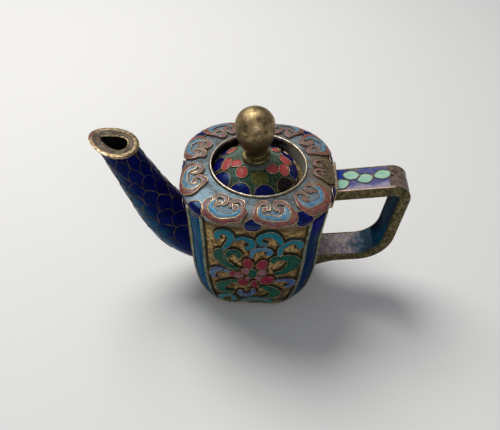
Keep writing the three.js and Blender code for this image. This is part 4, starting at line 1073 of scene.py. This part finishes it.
handle = {
    "corners": [(17.9, 34.23), (35.62, 37.3), (33.2, 14.3), (22.5, 12.7), (15.1, 11.6)],  # from the top root
    "rounds": (0, 2.6, 8.5, 0, 0), "roundSteps": 12, "width": 8.4, "depths": (3.0, 2.7, 2.1),
    "flareDepth": 2.0, "station": 0.8, "rail": 0.55,
    "railEdge": [(0.25, 0), (0.05, 0.25), (0, 0.3), (0.1, 0.55), (0.45, 0.6)],  # down and inwards
    "bareFrom": 0.9, "bareTo": 2, "tealTo": 2.55, "innerStart": 2, "backEnd": -3, "strutEnd": -2,
    "inlay": 0.12, "inlayBow": 0.1, "inlayDeep": 0.6, "inlaySteps": 10,
    "leafLevels": (-0.3, -0.03, 0.1), "leafPoint": 0.3, "leafWire": 0.18,
    "swirl": (14.8, 0.6), "swirlHalf": (0.8, 1.3), "swirlTurn": 5.5, "swirlShrink": 9, "swirlSteps": 24,
    "swirlWire": 0.13, "edgeIn": 0.3, "edgeOut": -0.06, "edgeRun": (0.8, 15.0, 30), "edgeWire": 0.17,
}
leafSpots = [
    # along and across the top strap, half sizes, tilt
    ((2.4, -1.5), (2.1, 1.7), 24), ((5.0, 1.4), (2.1, 1.7), -14), ((8.2, -0.1), (2.0, 1.75), 18),
    ((12.4, 0.8), (2.2, 1.7), 12),
]


def strapPath():  # place and outward way along the middle line, and how many corners lie behind
    corners = [Vector(corner) for corner in handle["corners"]]
    path = []
    for i, (corner, radius) in enumerate(zip(corners, handle["rounds"])):
        into = (corner - corners[i - 1] if i else corners[1] - corner).normalized()
        outOf = (corners[i + 1] - corner if corner != corners[-1] else corner - corners[i - 1]).normalized()
        bend = into.angle(outOf)
        if radius:
            start = corner - into * (radius * math.tan(bend / 2))
            centre = start + Vector((into.y, -into.x)) * radius
            for share in steps(0, 1, handle["roundSteps"]):
                way = Matrix.Rotation(-bend * share, 2) @ into
                outward = Vector((-way.y, way.x))
                path.append((centre + outward * radius, outward, i + share))
        else:
            outward = Vector((-into.y - outOf.y, into.x + outOf.x)).normalized()
            path.append((corner, outward, i))
    return path


def densePath(path):  # extra stations along the straight stretches
    dense = []
    for (place, outward, key), (nextPlace, nextOutward, nextKey) in zip(path, path[1:]):
        count = max(1, round((nextPlace - place).length / handle["station"]))
        for t in steps(0, 1, count)[:-1]:
            turned = outward.lerp(nextOutward, t).normalized()
            dense.append((place.lerp(nextPlace, t), turned, key + (nextKey - key) * t))
    return [*dense, path[-1]]


strap = densePath(strapPath())


def stationAfter(key):
    return next(i for i, station in enumerate(strap) if station[2] >= key)


def strapDepth(key):  # outer and inner face from the middle line
    top, back, low = handle["depths"]
    depth = top + (back - top) * clamp(key - 1) + (low - back) * clamp(key - 2)
    return depth / 2 + handle["flareDepth"] * max(key - 3, 0) ** 2, -depth / 2


def sweepPiece(name, section, start=0, end=None):  # section(outer, inner) gives points out and across
    loops = [[Vector((place.x + outward.x * out, across, place.y + outward.y * out))
              for out, across in section(*strapDepth(key))] for place, outward, key in strap[start:end]]
    return hoopPiece(name, loops, closed=False)


def strapSection(outer, inner):  # both faces sunk between rails
    half = handle["width"] / 2
    outerFace = [(outer - down, half - inwards) for down, inwards in handle["railEdge"]]
    innerFace = [(inner + down, inwards - half) for down, inwards in handle["railEdge"]]
    outerFace += [(out, -across) for out, across in reversed(outerFace)]
    innerFace += [(out, -across) for out, across in reversed(innerFace)]
    return outerFace + innerFace


def inlaySection(face, sign):
    half, deep = sign * (handle["width"] / 2 - handle["rail"]), face - sign * handle["inlayDeep"]
    bowed = [(face - sign * (handle["inlay"] - handle["inlayBow"] * (1 - (y / half) ** 2)), y)
             for y in steps(half, -half, handle["inlaySteps"])]
    return [*bowed, (deep, -half), (deep, half)]


def outerSection(outer, inner):
    return inlaySection(outer, 1)


def innerSection(outer, inner):
    return inlaySection(inner, -1)


dress(sweepPiece("handleStrap", strapSection), strapBrass, "brass", "handle_strap")
bareFrom, bareTo, tealTo = [stationAfter(handle[key]) for key in ("bareFrom", "bareTo", "tealTo")]
dress(sweepPiece("handleBareEnd", outerSection, bareFrom, bareTo + 1), bareEnd, "pale_enamel")
backEnamel = sweepPiece("handleBackEnamel", outerSection, bareTo, handle["backEnd"])
dress(backEnamel, periwinkle, "periwinkle_enamel")
outerEnamel = sweepPiece("handleOuterEnamel", outerSection, 0, bareFrom + 1)
dress(outerEnamel, periwinkle, "periwinkle_enamel", "handle_outer_inlay")
innerEnamel = sweepPiece("handleInnerEnamel", innerSection, handle["innerStart"], tealTo)
dress(innerEnamel, innerTeal, "teal_enamel", "handle_inner_inlay")
strutEnamel = sweepPiece("handleStrutEnamel", innerSection, tealTo - 1, handle["strutEnd"])
dress(strutEnamel, greyLilac, "pale_enamel")


def strapLay(along, across, out):  # distance along the outer face of the top strap from its root
    first, turn = [Vector(corner) for corner in handle["corners"][:2]]
    way = (turn - first).normalized()
    flat = first + way * along + Vector((-way.y, way.x)) * (handle["depths"][0] / 2 + out)
    return Vector((flat.x, across, flat.y))


def swirlSpot(angle):
    (along, across), (long, wide) = handle["swirl"], handle["swirlHalf"]
    shrink = 1 - angle / handle["swirlShrink"]
    return strapLay(along + long * math.cos(angle) * shrink, across + wide * math.sin(angle) * shrink, 0.0)


swirl = [swirlSpot(angle) for angle in steps(0, handle["swirlTurn"], handle["swirlSteps"])]
dress(wirePiece("handleSwirl", [swirl], handle["swirlWire"]), grimeAndShade, "brass")
leaves = [petalPiece(f"strapLeaf{i}", *leaf, strapLay, handle["leafLevels"], point=handle["leafPoint"])
          for i, leaf in enumerate(leafSpots)]
dress(joinPieces("handleLeaves", leaves), mint, "pale_enamel")
leafRuns = [petalLoop(*leaf, strapLay, 0.0, handle["leafPoint"]) for leaf in leafSpots]
dress(wirePiece("handleLeafWire", leafRuns, handle["leafWire"], closed=True), bareEnd)
edgeRun = [strapLay(along, handle["edgeIn"] - handle["width"] / 2, handle["edgeOut"])
           for along in steps(*handle["edgeRun"])]
dress(wirePiece("handleEdgeWire", [edgeRun], handle["edgeWire"]), edgeCopper)

plate = {"half": 4.9, "bottom": 31.2, "top": 37.7, "out": 0.8, "thick": 1.0, "bevel": 0.2,
         "grid": (24, 12), "bevelSteps": 2}


def plateSpot(u, v):
    height = plate["bottom"] + (plate["top"] - plate["bottom"]) * (v + 1) / 2
    return wallSpot(1, u * plate["half"], height, plate["out"])


rootPlate = gridPiece("handlePlate", *plate["grid"], plateSpot)
useModifier(rootPlate, "SOLIDIFY", thickness=plate["thick"] * mm, offset=-1)
useModifier(rootPlate, "BEVEL", width=plate["bevel"] * mm, segments=plate["bevelSteps"],
            limit_method="ANGLE")
closeSeams(rootPlate)
dress(rootPlate, plateGilt, "gilt", "handle_plate")
print("handle done")


# solids that stay, with better finishes

stays = {"body_shell": darkCopper, "lid_dome": darkCopper, "lid_seat": agedBrass, "lid_skirt": agedBrass,
         "knob_stem": agedBrass, "stem_washer": agedBrass}
for name, finish in stays.items():
    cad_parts[name].data.materials.clear()
    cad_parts[name].data.materials.append(finish)


# floor, light, camera

stage = {
    "floor": (0.80, 0.80, 0.79, 1), "floorSize": 3, "rough": 0.75, "sky": (0.93, 0.95, 1.0, 1),
    "skyStrength": 0.23, "aim": (0, 0, 0.03),
}
deselectAll()
bpy.ops.mesh.primitive_plane_add(size=stage["floorSize"])
floor = bpy.context.object
floor.name = "floor"
floorFinish, tree, shader = newMaterial("pale floor")
feed(tree, shader, {"Base Color": stage["floor"], "Roughness": stage["rough"]})
floor.data.materials.append(floorFinish)

world = bpy.data.worlds.new("soft room")
bpy.context.scene.world = world
world.use_nodes = True
tree = world.node_tree
feed(tree, tree.nodes["Background"], {"Color": stage["sky"], "Strength": stage["skyStrength"]})


def softLamp(name, place, size, watts, colour):
    lamp = bpy.data.lights.new(name, "AREA")
    lamp.shape = "DISK"
    lamp.size = size
    lamp.energy = watts
    lamp.color = colour
    holder = bpy.data.objects.new(name, lamp)
    bpy.context.collection.objects.link(holder)
    holder.location = place
    holder.rotation_euler = (Vector(stage["aim"]) - Vector(place)).to_track_quat("-Z", "Y").to_euler()


softLamp("window", place=(-0.13, 0.15, 0.36), size=0.26, watts=1.4, colour=(1.0, 0.98, 0.95))
softLamp("fill", place=(0.10, -0.32, 0.26), size=0.25, watts=0.2, colour=(0.95, 0.97, 1.0))

shot = {  # as the photo was taken
    "aim": (0, 0, 20), "azimuth": -1.338, "elevation": 45.558, "roll": 3.512, "distance": 167.704,
    "aimPixel": (254.976, 223.03), "framePixels": (500, 430), "focalPixels": 650, "sensor": 36, "clip": 0.005,
}
azimuth, elevation, roll = [math.radians(shot[key]) for key in ("azimuth", "elevation", "roll")]
level, sin, cos = math.cos(elevation), math.sin(roll), math.cos(roll)
back = Vector((math.sin(azimuth) * level, -math.cos(azimuth) * level, math.sin(elevation)))
right = Vector((math.cos(azimuth), math.sin(azimuth), 0))
down = -back.cross(right)
rolled = Matrix((right * cos - down * sin, right * sin + down * cos, -back))
aimRay = [(pixel - size / 2) / shot["focalPixels"]
          for pixel, size in zip(shot["aimPixel"], shot["framePixels"])]
view = Vector((0, 0, 1)).rotation_difference(Vector((*aimRay, 1))).to_matrix() @ rolled
turn = Matrix((view[0], -view[1], -view[2])).transposed()
cameraData = bpy.data.cameras.new("photoCamera")
cameraData.sensor_width = shot["sensor"]
cameraData.lens = shot["focalPixels"] / shot["framePixels"][0] * shot["sensor"]
cameraData.clip_start = shot["clip"]
camera = bpy.data.objects.new("photoCamera", cameraData)
bpy.context.collection.objects.link(camera)
camera.matrix_world = Matrix.Translation((Vector(shot["aim"]) + back * shot["distance"]) * mm) @ turn.to_4x4()
bpy.context.scene.camera = camera
bpy.context.scene.view_settings.view_transform = "Standard"
print("stage done")
